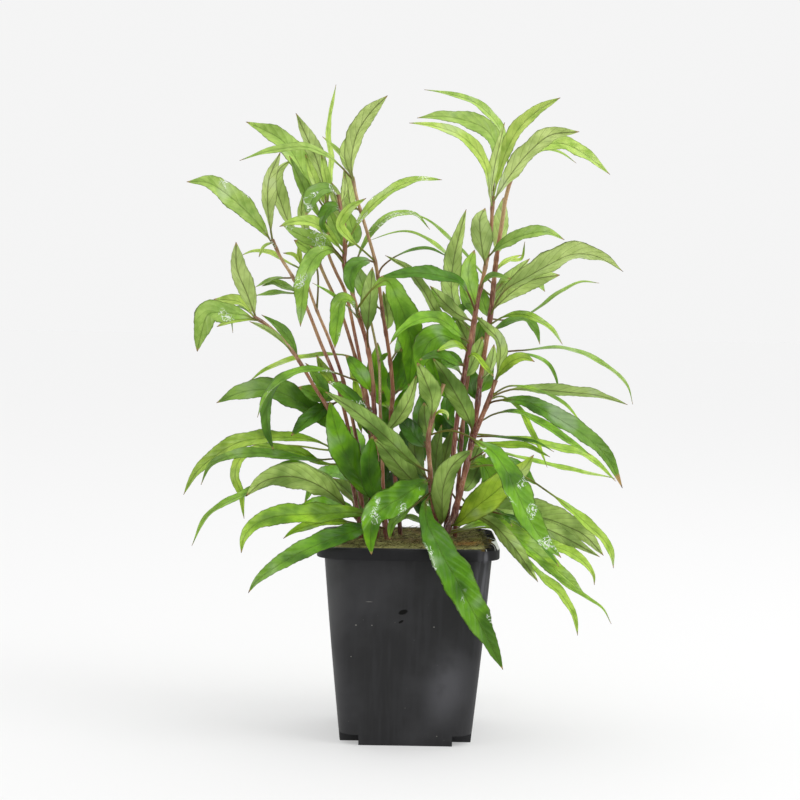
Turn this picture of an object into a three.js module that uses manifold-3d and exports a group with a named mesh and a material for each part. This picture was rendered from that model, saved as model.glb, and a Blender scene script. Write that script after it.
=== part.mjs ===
// Potted hygrophila angustifolia: a black square nursery pot, its fibrous growing block and
// twelve leafy shoots.
// Millimetres, +Z up, +X to the right and the front towards -Y. The origin is the middle of the pot's foot.
import * as THREE from 'three';
import { mergeVertices } from 'three/addons/utils/BufferGeometryUtils.js';
import Module from 'manifold-3d';

const wasm = await Module();
wasm.setup();

// Pot: the 9 x 9 x 10 cm square format, moulded in thin plastic.
const POT_HEIGHT = 99;
const RIM_SIDE = 89.6;
const RIM_CORNER = 12;
const RIM_SKIRT = 5.3;
const RIM_PLATE = 1.4;
const RIM_BEVEL = 0.8;
const BODY_TOP_SIDE = 82.2;
const BODY_FOOT_SIDE = 65.2;
const BODY_CORNER = 9.5;
const WALL = 1.3;
const NOTCH_SIDE = 9.5;
const NOTCH_HEIGHT = 5.2;
const DRAIN_RADIUS = 2.2;
const DRAIN_INSET = 7;

// How far the solids that cut the pot run past the faces that they cut.
const PAST = 2;

// Growing block: mineral fibre cut a little smaller than the pot's inside.
const BLOCK_TOP = 98;
const BLOCK_TOP_SIDE = 76;
const BLOCK_FOOT_SIDE = 59;
const BLOCK_CORNER = 7;
const BLOCK_BEVEL = 1.5;

// Gap between pieces that touch, and how the plant's solids are drawn.
const GAP = 0.3;
const STEM_SIDES = 5;
const LEAF_RIB = 0.8;
const STALK_HALF = 0.55;
const LEAST_HALF = 0.2;
const BLADE_LEAN = 1;
const BLADE_FULLNESS = 0.9;
const BRANCH_TAPER = 0.9;
const TIP_SHARE = 0.06;
const LEAF_FOLD = 0.2;
const LEAST_LEAF_STEPS = 4;
const MOST_LEAF_STEPS = 7;
const UNION_TOLERANCE = 0.06;

// The plant is laid out as it looks from this point in front of it. A place on it is written [x, z, d]:
// where it is seen on the upright plane through the pot's axis, and how far it stands in front of it.
const EYE = new THREE.Vector3(-5.3, -888, 214);

// Each shoot has a foot [x, y] on the block, a stem and its branches of [x, z, d] points, and leaves.
// A leaf is [points from the stem to the tip, width, turn at the base, turn at the tip, youth, stalk share].
// A turn of 90 degrees shows the leaf's upper face to the eye, 0 its edge and -90 its underside.
// Youth runs from 0, an old dark leaf, to 1, a young yellow one. The small leaves are grown into their stem.
const SHOOTS = {
  left_1: {
    foot: [-24, -2],
    thick: [1.1, 0.8],
    stem: [[-30, 131, 2], [-39.8, 160.5, 3], [-48.6, 174.7, 4], [-54.8, 185, 5], [-59.6, 192, 5.5],
      [-66.5, 200, 6], [-73.3, 206, 7], [-80, 210, 8]],
    branches: [],
    leaves: [
      [[[-78.5, 209.5, 8], [-83.5, 222, 12], [-88.5, 234, 15], [-89.3, 247.5, 14]],
        11, -65, -60, 0.3, 0.05],
      [[[-76, 207.8, 7.5], [-85, 210.5, 12], [-94, 211.5, 16], [-102.5, 211, 19], [-106, 202, 20],
        [-108.3, 191.8, 20]], 12, 55, 70, 0.3, 0.1],
      [[[-54.8, 185, 5], [-60, 183.2, 12], [-68, 176, 18], [-72.3, 165, 22], [-72, 153, 24],
        [-69, 142.5, 25]], 9, 40, 45, 0.1, 0.12],
      [[[-24.8, 108, 1], [-29.5, 112, 6], [-37.5, 119.5, 12], [-48, 126, 18], [-60, 129.3, 20],
        [-74, 126.5, 21], [-83, 118.5, 21]], 14, -70, -60, 0.2, 0.15],
    ],
    small: [
      [[[-79, 210, 8], [-87, 217, 2], [-100.3, 218.5, -4]], 7, 45, 50, 1, 0.1],
      [[[-77, 208.5, 7.5], [-86, 208.3, 6.5], [-93, 207, 6], [-98.5, 204.5, 6]], 5, 35, 50, 0.9, 0.1],
      [[[-77, 209, 7.5], [-84, 213.5, 0], [-88, 214.5, -5], [-90.5, 209, -8], [-90.4, 201.5, -9]],
        2.5, 30, 30, 0.1, 0.2],
      [[[-56.5, 187.5, 5], [-61, 197.5, 1], [-68, 205.5, 0], [-76, 211, 0]], 6, 50, 50, 0.1, 0.1],
      [[[-60, 192.5, 5.5], [-68, 200, 9.5], [-76, 205, 12], [-82, 207.5, 13]], 4, -45, -45, 0.4, 0.1],
      [[[-42.3, 165.5, 3], [-44, 173, -3], [-48, 180, -5], [-53.5, 187, -6]], 7, 50, 50, 0.2, 0.1],
      [[[-24, 106, 0], [-30, 106.5, 8], [-40, 106.6, 18], [-50, 104.3, 26], [-58, 101.3, 30],
        [-63.5, 97.5, 32]], 7.5, 50, 50, 0.7, 0.15],
      [[[-24.5, 107, 0], [-36, 118, -12], [-52, 126.5, -22], [-70, 126, -28], [-83, 120, -31],
        [-94, 114.5, -33], [-103, 107.5, -34], [-110, 93, -34]], 6, 45, 45, 0.6, 0.3],
      [[[-25.5, 112, 0.5], [-29, 118, -2], [-36, 124.5, -6], [-45, 131, -10], [-55, 135, -13],
        [-66, 133.5, -15], [-75, 127.3, -16]], 7.5, -50, 60, 0.6, 0.15],
    ],
  },
  left_2: {
    foot: [-22, 8],
    thick: [1.1, 0.8],
    stem: [[-28, 139, -7], [-37.7, 178, -7], [-46, 197.5, -7], [-53.6, 216, -8], [-60.6, 230.5, -8],
      [-66.5, 239.7, -8], [-71, 249, -8]],
    branches: [],
    leaves: [
      [[[-68.7, 244.5, -8], [-76.5, 254.5, 0], [-86, 264.5, 2.5], [-95, 272, 3], [-104, 277, 5],
        [-114.5, 277.2, 6]], 12, 60, 60, 0.3, 0.12],
      [[[-71, 249, -8], [-72.5, 258, -4], [-73.5, 268, 0], [-73, 279, 3], [-70, 287, 4], [-67.5, 293, 4]],
        8.5, -60, -55, 0.7, 0.1],
      [[[-30, 146.5, -7], [-38, 153, -7], [-46, 160, -6], [-57, 167.5, -4], [-70, 172.8, -1],
        [-85, 171.8, 2], [-98.3, 166, 4]], 14, 62, 60, 0.15, 0.1],
      [[[-28.2, 140, -7], [-38, 143.5, -10], [-48, 147.5, -13], [-60, 149, -15], [-75, 148.3, -17],
        [-87, 146, -18], [-98, 139.5, -19], [-108, 130.5, -19], [-114.5, 119, -19]],
        10, 53, 50, 0.35, 0.15],
    ],
    small: [
      [[[-60.5, 230, -8], [-70, 229, -20], [-80, 224.5, -30]], 4, 25, 25, 0.2, 0.2],
      [[[-57, 222.5, -8], [-63, 224.5, -16], [-70, 227, -22], [-76, 225.5, -26]], 6, 35, 40, 0.4, 0.1],
      [[[-57, 222, -8], [-68, 222, -2], [-79.8, 220.5, 2]], 5, 20, 25, 0.3, 0.1],
      [[[-70.5, 248, -8], [-75.5, 244.5, -14], [-77.7, 240, -17]], 3, 40, 40, 0.6, 0.1],
      [[[-27.7, 137, -7], [-44, 136, -11], [-55, 141, -9], [-66, 143, -8], [-80, 145, -8]],
        6, 50, 50, 0.7, 0.2],
      [[[-24.5, 120, -7], [-32, 128, -26], [-40, 131, -48], [-48, 126, -64], [-53, 116, -72]],
        10, 60, 60, 0.3, 0.15],
      [[[-27.8, 138, -7], [-36, 138.8, -5], [-48, 137.8, -3], [-62, 139.3, -1], [-78, 140.8, 1],
        [-92, 139, 2], [-101, 134, 3], [-105.7, 124.2, 3]], 6.5, 45, 50, 0.2, 0.15],
    ],
  },
  left_3: {
    foot: [-17, 18],
    thick: [1.1, 0.7],
    stem: [[-23, 130, -16], [-33.5, 176, -15], [-41, 197.5, -15], [-48.2, 214, -16], [-52, 224, -17],
      [-56, 236, -18]],
    branches: [],
    leaves: [],
    small: [
      [[[-55.5, 234, -18], [-65, 238.5, -21], [-72, 242, -26], [-80, 243, -30], [-87, 240.5, -33]],
        4, 35, 35, 0.9, 0.1],
      [[[-56, 235.5, -18], [-57.5, 241, -14], [-57.8, 247, -12]], 3.5, 60, 60, 1, 0.1],
      [[[-56, 236, -18], [-60, 241, -16], [-65.5, 242.3, -14]], 3, 50, 50, 1, 0.1],
      [[[-34, 178, -15], [-39, 177.5, -19], [-43.5, 182, -20], [-48, 191, -20]], 7, 60, 60, 0.9, 0.1],
      [[[-22, 126, -16], [-24, 140, -30], [-30, 150, -48], [-34, 148, -62], [-36, 135, -70]],
        11, 60, 60, 0.3, 0.15],
      [[[-18.5, 106, -18], [-29, 112, -25], [-41, 114, -35], [-53, 111, -45], [-63, 105, -52]],
        12, 60, 60, 0.4, 0.15],
      [[[-48, 213.5, -16], [-47.8, 232, -15], [-52, 248, -16], [-56.5, 262, -17], [-55.5, 271, -17],
        [-54, 279, -17]], 5, -60, -55, 0.4, 0.45],
      [[[-26.5, 145, -16], [-40, 143, -28], [-60, 145, -38], [-76, 143.5, -44], [-86, 137.5, -47],
        [-88.3, 129, -48], [-85, 120, -48], [-84.3, 113, -47], [-83.5, 107.2, -46]], 6, 60, 60, 0.9, 0.4],
    ],
  },
  left_4: {
    foot: [-12, 14],
    thick: [1.0, 0.8],
    stem: [[-17, 130, -12], [-25, 178, -6], [-32.3, 203, -4], [-37, 216, -3], [-43.8, 230, -3],
      [-47, 237, -3], [-51, 246, -5], [-56, 252, -7]],
    branches: [],
    leaves: [
      [[[-55.5, 251.5, -7], [-62, 257, -10], [-66.5, 267, -12], [-69.5, 277, -13], [-68, 284, -14],
        [-62, 289, -15]], 9, -60, -60, 0.4, 0.1],
    ],
    small: [
      [[[-24.7, 176, -6], [-27.5, 179, -9], [-31, 184, -12]], 5, 60, 60, 0.9, 0.1],
      [[[-28.6, 190, -5], [-36, 191.5, -20], [-47, 191, -26], [-62, 188, -30], [-73, 183.5, -32],
        [-82, 177, -33]], 5, 35, 40, 0.8, 0.2],
      [[[-22, 161, -8], [-25.7, 166.4, -18], [-27.6, 174, -22], [-28.6, 181.6, -24]],
        6, 60, 60, 0.8, 0.1],
    ],
  },
  left_5: {
    foot: [-8, 7],
    thick: [1.0, 0.8],
    stem: [[-15, 130, -6], [-22.5, 172, -1], [-28.5, 201, 0], [-33.7, 222.7, -2], [-39, 233.8, -5],
      [-42.3, 241.5, -8], [-44.3, 252, -10], [-44.5, 262, -11], [-43.5, 269, -11]],
    branches: [],
    leaves: [
      [[[-44, 264, -11], [-49, 271, -12], [-55, 281, -13], [-61, 292, -14], [-67, 299, -15],
        [-75, 303.5, -15], [-85, 307.7, -15]], 12, 62, 60, 0.5, 0.08],
      [[[-43.5, 266, -11], [-45.5, 277, -19], [-49, 289, -22], [-53.5, 299, -24], [-60, 312.5, -25]],
        10, -62, -55, 0.3, 0.08],
    ],
    small: [
      [[[-43.7, 263, -11], [-43, 271.5, -18], [-42.5, 281, -27], [-42.5, 291, -35], [-44, 305, -42],
        [-40, 327, -52]], 5, 40, 40, 0.8, 0.1],
      [[[-22, 170, -1], [-25.5, 163, -11], [-24.5, 152, -18]], 5, 50, 50, 0.7, 0.15],
      [[[-44.3, 256, -10.3], [-50, 265, -6], [-56, 276, -4], [-63, 291, -3]], 6.5, 60, 60, 0.1, 0.1],
      [[[-44.2, 265, -11], [-47, 272, -4], [-51, 281, -2], [-55, 292, -2]], 6, 60, 60, 0.8, 0.1],
      [[[-43.7, 267.5, -11], [-43.5, 274, -5], [-45, 283, -3], [-47, 292, -3]], 5, 60, 60, 0.7, 0.1],
    ],
  },
  left_6: {
    foot: [-16, -3],
    thick: [1.4, 0.9],
    stem: [[-16.5, 135, 4], [-18.2, 162, 5], [-19.8, 181.5, 6], [-22.2, 196, 6], [-26, 209, 5],
      [-30.7, 224, 3], [-34.5, 236, 1], [-34.3, 246, 0], [-35, 257, -1], [-37, 266, -2], [-38, 272, -2]],
    branches: [],
    leaves: [
      [[[-34.8, 237, 1], [-39.5, 243, 8], [-43.5, 244, 14], [-49.5, 240, 20], [-53.8, 231, 24],
        [-55.5, 218, 25], [-56.2, 205.3, 25]], 10.5, 62, 60, 0.5, 0.15],
      [[[-34.5, 239, 1], [-41, 245.5, 4], [-48, 248.7, 8], [-56, 251, 10], [-66, 256.5, 8]],
        9, 60, 60, 0.2, 0.2],
      [[[-27.3, 211.5, 5], [-31, 218.5, 14], [-35.5, 218.5, 19], [-37.5, 208, 22], [-38.7, 194.5, 22]],
        10, 50, 50, 0.5, 0.12],
      [[[-21.8, 193, 6], [-22.3, 203, 9], [-21.8, 213, 12], [-21, 225, 14], [-20.3, 236, 15]],
        9.5, -75, -70, 0.3, 0.25],
      [[[-26.3, 210, 5], [-28, 213.5, 14], [-24.5, 219.5, 21], [-19.5, 225.5, 24], [-13, 229.2, 24],
        [-8, 221, 21], [-3, 209, 16], [0, 195, 11], [-1, 175.5, 6]], 14, 78, 75, 0.3, 0.28],
    ],
    small: [
      [[[-36.3, 263, -2], [-40, 266, 8], [-44.5, 262, 14], [-45.8, 256.5, 16], [-42, 251.7, 17]],
        8, 55, 55, 0, 0.15],
      [[[-38, 271, -2], [-43, 275, 6], [-49, 272.5, 12], [-54.3, 261, 15]], 10.5, 50, 50, 0, 0.15],
      [[[-18.5, 163, 5], [-25, 165.5, 12], [-31, 170.5, 15], [-36, 174.5, 16], [-42, 178, 17]],
        8, 55, 55, 0.1, 0.12],
      [[[-19.4, 172, 5.5], [-22.5, 177, 9], [-27, 184, 9], [-33.5, 191.5, 9]], 9, 65, 65, 0.4, 0.1],
      [[[-26.2, 208.5, 5], [-32, 215.5, 6], [-41, 222, 8], [-50.5, 227.5, 10]], 3, 30, 30, 0.5, 0.3],
      [[[-33.5, 233, 2], [-29, 238.5, -3], [-26, 244.5, -14], [-21.5, 252.5, -17], [-15, 259.5, -19],
        [-8, 263, -21], [1, 262.5, -23], [8.4, 255.3, -25]], 4.5, 50, 50, 0.3, 0.2],
      [[[-37, 267, -2], [-35, 273, -5], [-35, 282, -8]], 4, -50, -50, 0.8, 0.1],
      [[[-34.4, 242, 0], [-40.5, 249.5, 12], [-46.5, 255.5, 15], [-54, 258.3, 18], [-61, 258, 20],
        [-67.5, 255.5, 20]], 7.5, 55, 55, 0.8, 0.15],
      [[[-19.2, 175.5, 6], [-30, 179.5, 11], [-42, 183, 15], [-54, 183.3, 19], [-64, 179, 27],
        [-72.5, 171, 33], [-77.5, 159, 36]], 6.5, 28, 35, 0.3, 0.25],
      [[[-34, 247, 0], [-31, 252.5, 3], [-26.5, 260, 4], [-18, 269.5, 5], [-6, 277.5, 3], [4, 280.5, 0],
        [14, 280.3, -4]], 6.5, 50, 50, 0.7, 0.1],
    ],
  },
  left_7: {
    foot: [-4, 6],
    thick: [1.2, 0.8],
    stem: [[-7.7, 135, -6], [-9.7, 160.7, -7], [-9, 173, -8], [-11.6, 195, -8], [-14.4, 210.5, -8],
      [-18.8, 238, -8], [-23, 252.5, -8], [-28.5, 270, -9], [-31, 281, -10]],
    branches: [],
    leaves: [
      [[[-30.5, 278, -10], [-32, 288, -6], [-29, 303, -1], [-22, 314, 3], [-14, 322, 6]],
        10, -70, -65, 0.3, 0.08],
      [[[-18.9, 238.5, -8], [-24, 239, 2], [-29.5, 235.5, 9], [-31.5, 229, 13], [-29, 221.5, 14]],
        9, 60, 60, 0, 0.15],
    ],
    small: [
      [[[-31, 280.5, -10], [-36, 290.5, -15], [-40, 295, -18], [-46.5, 301, -20]], 4, 40, 40, 0.6, 0.1],
      [[[-30.8, 280, -10], [-34.8, 288, -13], [-35, 296, -16], [-31, 305, -18]], 4.5, -60, -60, 0.9, 0.1],
      [[[-19, 239, -8], [-26, 245, 0], [-33, 250.8, 9], [-37.3, 257, 13], [-33, 265, 14],
        [-24, 270.5, 13]], 7, 50, 55, 0.7, 0.3],
      [[[-17.3, 231, -8], [-15.5, 236, -12], [-9, 241.3, -16], [0, 244.8, -21], [9, 245.5, -26],
        [18, 241.5, -30]], 3, 30, 35, 0, 0.3],
      [[[-7.8, 134, -6], [-4, 142, -20], [2, 150, -38], [6, 148, -52], [8, 138, -60]],
        11, 60, 60, 0.2, 0.15],
      [[[-31, 279.5, -10], [-38, 287, -6], [-46, 292.5, -2], [-55, 295.5, 1], [-72, 293.5, 4],
        [-88, 288.3, 6]], 5, 50, 45, 0.4, 0.12],
      [[[-10.8, 188, -8], [-7, 194, -20], [-2, 198, -36], [1, 195, -50], [2, 185, -58]],
        10, 60, 60, 0.3, 0.15],
      [[[-8.9, 149, -6.5], [-12.3, 155, -14], [-13.3, 163.6, -18], [-14.2, 174, -20]],
        6, 60, 60, 0.1, 0.1],
      [[[-9.5, 158, -7], [-6.6, 163.6, -14], [-3.7, 169.3, -18], [-0.4, 177.8, -20]],
        7, 60, 60, 0.35, 0.1],
      [[[-6, 120, -4.5], [-11, 125, -18], [-15.5, 134, -23], [-18, 146, -23], [-18.5, 157, -23]],
        11, 70, 70, 0.1, 0.1],
      [[[-7.8, 136, -6], [-5.6, 141.7, -16], [-1.8, 149.3, -22], [0.1, 158.8, -26]],
        12, 65, 65, 0.1, 0.1],
      [[[-5.8, 115, -4], [-6.6, 121.8, -12], [-5.6, 130.4, -17], [-6.6, 140, -19]],
        10, 65, 65, 0.15, 0.1],
      [[[-9.4, 163, -7.5], [-14, 169, -21], [-17, 177, -27], [-18, 187, -30], [-17, 198, -31]],
        13, 66, 66, 0.6, 0.1],
      [[[-9, 172, -8], [-2, 177, -17], [3, 185, -21], [5, 195, -22], [5, 204, -22]],
        11, 66, 66, 0.15, 0.1],
    ],
  },
  left_8: {
    foot: [-11, -11],
    thick: [1.1, 0.6],
    stem: [[-13, 122, 10], [-14, 143.5, 9], [-15.3, 165, 8], [-15.7, 180, 4], [-16.3, 189, 1],
      [-18, 197, -1], [-20.5, 208, -3]],
    branches: [],
    leaves: [
      [[[-12.6, 113.5, 10.5], [-18, 119.5, 11], [-24, 127, 11], [-31, 138, 10.5], [-37, 152, 10],
        [-41, 168, 9]], 15, 78, 78, 0.4, 0.08],
      [[[-12.6, 112.5, 10.5], [-16.5, 119, 16], [-20, 129, 19], [-20.5, 140, 19], [-19, 151, 18]],
        11.5, 72, 72, 0.2, 0.1],
      [[[-12, 106.5, 11], [-19, 110, 17], [-29, 111.5, 24], [-42, 110.5, 31], [-55, 109.8, 37],
        [-69, 108.3, 42], [-79, 103.5, 46], [-83.7, 97, 48], [-84.8, 89.7, 49]], 11.5, 65, 65, 0.7, 0.12],
      [[[-11.8, 103.5, 11], [-19, 105, 22], [-28, 101.8, 37], [-38, 97.8, 47], [-50, 92.8, 53],
        [-60, 87.5, 55], [-70, 81, 57], [-77, 75.3, 58], [-81, 69.3, 58]], 11.5, 60, 60, 0.25, 0.1],
    ],
    small: [
      [[[-16.3, 188.5, 1], [-14, 190.5, 6], [-10.8, 193, 9]], 3, 60, 60, 0.4, 0.1],
      [[[-14.5, 150, 8.5], [-9.5, 155.5, 13], [-4.5, 162, 18], [0, 171, 21], [2.8, 181.8, 22]],
        8.5, -65, -65, 0.8, 0.08],
    ],
  },
  right_1: {
    foot: [16.5, -9],
    thick: [1.3, 1.0],
    stem: [[13, 114, 11], [11.3, 124, 12], [10.5, 134, 13.5], [9.4, 150, 16], [10.6, 157.6, 17],
      [12.2, 163.5, 18], [16.7, 177.5, 20]],
    branches: [],
    leaves: [
      [[[11.8, 121, 11.9], [10.5, 120.3, 20], [8.5, 115.5, 29], [9.5, 107, 38], [14, 97.5, 45.5],
        [19, 88, 50.5], [25, 78, 52], [31, 67, 53], [36.5, 57, 54], [42.5, 46, 55], [49.5, 32, 55]],
        16, 75, 70, 0.35, 0.1],
      [[[10.9, 129, 12.8], [5.5, 126, 27], [-4, 119.5, 39], [-12, 114.5, 46], [-17.5, 109, 50],
        [-19, 99, 52], [-18.5, 89.8, 52]], 15, 75, 72, 0.5, 0.08],
      [[[9.5, 151.5, 16], [20, 154, 21], [28.5, 151.7, 25], [36, 147.3, 29], [42.5, 143, 33],
        [49, 134, 38], [54.5, 123.5, 43], [59.5, 113, 47], [67, 101, 50], [78, 90, 53]],
        14, 65, 65, 0.4, 0.25],
      [[[15.3, 104, 10], [17, 108, 14.5], [16.8, 116, 18], [17.3, 125, 20], [21, 135, 21], [27, 141, 21],
        [32, 144.2, 20]], 11.5, -75, -75, 0.5, 0.06],
      [[[10.6, 133, 13.5], [6.5, 134.5, 20], [-1, 140, 29], [-9, 147.5, 34], [-19, 156, 37],
        [-30, 164.5, 39], [-43.5, 172.7, 39]], 10, -60, -60, 0.4, 0.1],
      [[[11, 126.5, 12], [3.5, 127.5, 17], [-3, 133, 20], [-9, 140, 22], [-14.5, 146, 24],
        [-18.5, 149, 25]], 12, -72, -72, 0.3, 0.08],
      [[[10.8, 158.5, 17], [10.8, 170, 24], [7.5, 179, 28], [3, 188.3, 30]], 10.5, -75, -75, 0.6, 0.1],
    ],
    small: [
      [[[11.5, 123, 12], [4, 116.5, 16], [-3, 110.5, 23], [-8, 105.5, 30], [-9.5, 97.5, 34]],
        5.5, 50, 55, 0.5, 0.35],
      [[[14.6, 106.5, 10], [7, 107, -4], [0, 109.5, -14], [-5, 107.5, -20]], 4.5, 40, 40, 0.7, 0.2],
      [[[11, 127, 12.5], [5, 135, 4], [2.5, 146, -2], [6, 160, -6]], 9, -60, -60, 0, 0.1],
      [[[11.5, 160.5, 17.5], [15, 163.5, 20], [18.5, 162.5, 22], [19.3, 159, 23]], 2.2, 60, 60, 1, 0.1],
      [[[9.7, 145, 15.3], [5.9, 150.3, 6], [4.9, 158.8, -2], [6.3, 168.3, -8], [7.8, 177.8, -12]],
        8, 60, 60, 0.15, 0.15],
      [[[14.5, 107.5, 10], [11, 110.5, 5], [6.5, 115, 2], [2.5, 122, 0]], 9, 70, 70, 0.05, 0.12],
    ],
  },
  right_2: {
    foot: [19, 4],
    thick: [1.4, 0.9],
    stem: [[21.3, 128, 1], [23, 152, 3], [26, 176, 5], [29, 195, 5], [33, 219, 4], [36.5, 236, 3],
      [38, 246, 3], [39.3, 258, 2], [39.6, 267, 2], [40, 272.5, 2]],
    branches: [],
    leaves: [
      [[[39.9, 269.5, 2], [48, 283, 11], [58, 295.5, 15], [68, 303.5, 17], [82.6, 305.5, 17]],
        10.5, -68, -65, 0.5, 0.06],
      [[[40, 272, 2], [43, 285, -1], [47, 297, 2], [53, 307.5, 6], [62, 316, 10], [72.7, 322.3, 12]],
        9.5, 50, 55, 0.8, 0.08],
      [[[39.8, 270.5, 2], [40.3, 284, -5], [41, 297, -11], [36, 305.5, -15], [26, 310, -18],
        [13, 312, -20], [0.9, 311, -21]], 10.5, 52, 55, 0.1, 0.1],
      [[[37.5, 241.5, 3], [42, 246, 10], [49, 250.5, 16], [57, 253.5, 21], [67, 255, 24],
        [76.3, 251.2, 26]], 8.5, 45, 50, 0.1, 0.1],
      [[[36.6, 237, 3], [35, 246, 9], [33.8, 254, 12], [33.5, 261, 11], [36, 266.5, 6]],
        11.5, -70, -70, 0.4, 0.08],
      [[[32, 214, 4], [28.5, 223, 12], [24, 229, 20], [14, 232, 26], [3, 233.3, 30], [-7, 232.3, 32],
        [-16.5, 231, 33]], 8.5, 50, 50, 0.15, 0.2],
      [[[29.5, 198, 5], [24, 203, 15], [18, 208, 24], [11, 211, 30], [3, 209.5, 34], [-6, 203.5, 37],
        [-11, 197, 38]], 8.5, 48, 50, 0.5, 0.1],
      [[[29, 195.5, 5], [22, 199.5, 10], [15, 202, 15], [9, 198.5, 18], [5, 190, 19], [4, 182, 19]],
        13.5, 72, 72, 0.3, 0.08],
    ],
    small: [
      [[[39.8, 266.5, 2], [38.8, 275, 6], [40.3, 288, 9], [42.5, 298, 10], [45, 309.5, 10]],
        5.5, -50, -50, 0.9, 0.05],
      [[[32.5, 217, 4], [29, 227, 9], [28, 236, 12], [31, 245.5, 12]], 10, 65, 65, 0.6, 0.08],
      [[[27.6, 186.5, 5], [20.5, 189.5, 19], [12.5, 192, 29], [4, 189.3, 35]], 7, 50, 50, 0.1, 0.15],
      [[[28.9, 194, 5], [24.5, 197, 12], [19, 196.5, 22], [13, 194, 28]], 6, 50, 50, 0.7, 0.1],
      [[[21.2, 125, 1], [14, 130, -4], [13.5, 142, -5], [16, 157, -6]], 8, -60, -60, 0.1, 0.1],
      [[[39.6, 267, 2], [37.5, 278, 8], [36, 287, 13], [31, 295.5, 18], [22, 303, 22], [10, 307, 25],
        [-3, 308.5, 26]], 7, 50, 50, 1, 0.1],
      [[[34.5, 226, 3.5], [36, 229.5, 8], [40, 232.5, 11], [50, 231, 14]], 4.5, 45, 45, 0.2, 0.2],
      [[[28.7, 191, 5], [32, 192.5, 12], [37, 187, 16], [42, 181.5, 17]], 4, 50, 50, 0.9, 0.1],
    ],
  },
  right_3: {
    foot: [24, 7],
    thick: [1.1, 0.8],
    stem: [[24.7, 120, -8], [26.3, 150, -9], [28.5, 178, -8], [30, 190, -7], [31.5, 205, -6],
      [32.5, 213, -6]],
    branches: [],
    leaves: [
      [[[31.2, 202, -6], [24, 212, -16], [19.8, 224, -22], [20.3, 238, -26], [23, 252, -28],
        [26.5, 265.8, -29]], 10, -70, -70, 0.8, 0.1],
    ],
    small: [
      [[[24.6, 118, -8], [17, 131, -11], [19, 145, -11], [21.5, 155.5, -11]], 7.5, -60, -60, 0.7, 0.1],
      [[[28.6, 179, -8], [22, 186, -22], [15, 187, -38], [10, 180, -50], [8, 170, -56]],
        10, 60, 60, 0.3, 0.15],
      [[[24.5, 110, -8], [33, 117, -18], [44, 119, -30], [55, 115, -42], [63, 107, -51]],
        12, 60, 60, 0.4, 0.15],
      [[[30.8, 198, -6], [23, 202.5, -10], [17, 207.5, -10], [11.5, 215, -8], [5, 226, -6],
        [-3, 235.5, -5], [-14, 242, -5]], 7, -50, -50, 0.6, 0.15],
      [[[24.8, 125, -8], [34, 133, -18], [45, 137, -30], [56, 134, -42], [65, 127, -50]],
        11, 60, 60, 0.2, 0.15],
      [[[24.2, 103.5, -7], [30, 108, -22], [43, 105.8, -38], [53, 94, -44], [61, 86.5, -46],
        [69, 79, -47], [77, 72.5, -48], [82.5, 65.5, -48], [85.5, 59, -48], [87.3, 50.2, -48]],
        9, -60, 60, 0.8, 0.25],
      [[[24.4, 108, -7.5], [32, 111, -20], [42, 109.3, -30], [54, 104.5, -42], [64, 99.5, -49],
        [74, 96, -53], [83, 92.5, -55], [90, 87.5, -56], [94.5, 81.5, -57], [95.2, 76.3, -57]],
        8.5, 55, 60, 0.8, 0.3],
      [[[26.5, 154, -9], [20.2, 158.8, -16], [18.3, 166.4, -20], [19.3, 175, -22]], 8, 60, 60, 0.2, 0.1],
      [[[25.5, 138, -8.6], [26.9, 144.6, -18], [27.9, 153, -22], [26.9, 162.6, -24]],
        7, 60, 60, 0.15, 0.1],
      [[[32.3, 210, -6], [28, 216, -12], [24, 214, -15], [20, 208, -17]], 6, 55, 55, 0.15, 0.1],
      [[[27.5, 167, -8.5], [21, 171, -14], [14, 178, -17], [11, 188, -18], [10, 198, -18]],
        12, 66, 66, 0.4, 0.12],
    ],
  },
  right_4: {
    foot: [18.5, -7],
    thick: [1.5, 1.0],
    stem: [[23.5, 113, 5], [26.5, 125, 4], [28.5, 134, 2], [31.3, 147.6, 0], [33.7, 164, -3],
      [35.2, 180, -6], [38, 200.5, -8], [39.5, 211, -9], [41, 228, -10], [42, 240, -10], [45, 262, -8],
      [46, 270, -6], [49, 283, -2]],
    branches: [[[31.5, 149, 0], [36, 160.5, 4], [40, 170.5, 6], [43, 180, 6]]],
    leaves: [
      [[[49, 282.5, -2], [56, 291, -8], [66, 298.5, -12], [75, 299.3, -15], [86, 294, -17],
        [98.5, 284.3, -18]], 8.5, 52, 55, 0.4, 0.1],
      [[[39.6, 212, -9], [43, 220, -3], [48, 226.5, 4], [58, 232.5, 10], [70, 239.5, 14], [80, 244, 16],
        [92, 243.5, 17], [106.3, 235.7, 16]], 15, -80, -15, 0.6, 0.2],
      [[[38.6, 167, 5.5], [42, 169, 9], [50, 170, 16], [60, 168.7, 22], [73, 162, 30], [88, 152.8, 34],
        [100, 142, 36], [108.4, 126, 36]], 10.5, 58, 60, 0.3, 0.1],
      [[[31.8, 151, 0], [30.5, 158, 7], [27, 165.5, 13], [22, 174, 18], [16.5, 183, 21], [11, 190.5, 23]],
        11, -72, -72, 0.4, 0.1],
      [[[20.3, 105, 6.5], [26, 107.5, 12], [34, 115, 18], [42, 121.5, 22], [50, 128.5, 25], [58, 135, 27],
        [63, 142.3, 28]], 15, 75, 75, 0.9, 0.06],
      [[[19.8, 102.5, 7], [29, 104.5, -6], [38, 107.2, -12], [46, 104.8, -16], [56, 99.7, -18],
        [66, 92, -19], [75, 84.5, -20], [83, 78, -20], [91, 70.5, -20]], 11.5, 55, 60, 0.4, 0.12],
      [[[25.5, 121, 4], [33, 114.5, -12], [44, 112.3, -24], [56, 112.5, -31], [68, 110.5, -36],
        [80, 106.5, -40], [90, 101.5, -42], [99.5, 91.5, -43]], 17, -68, -65, 0.4, 0.15],
    ],
    small: [
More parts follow.
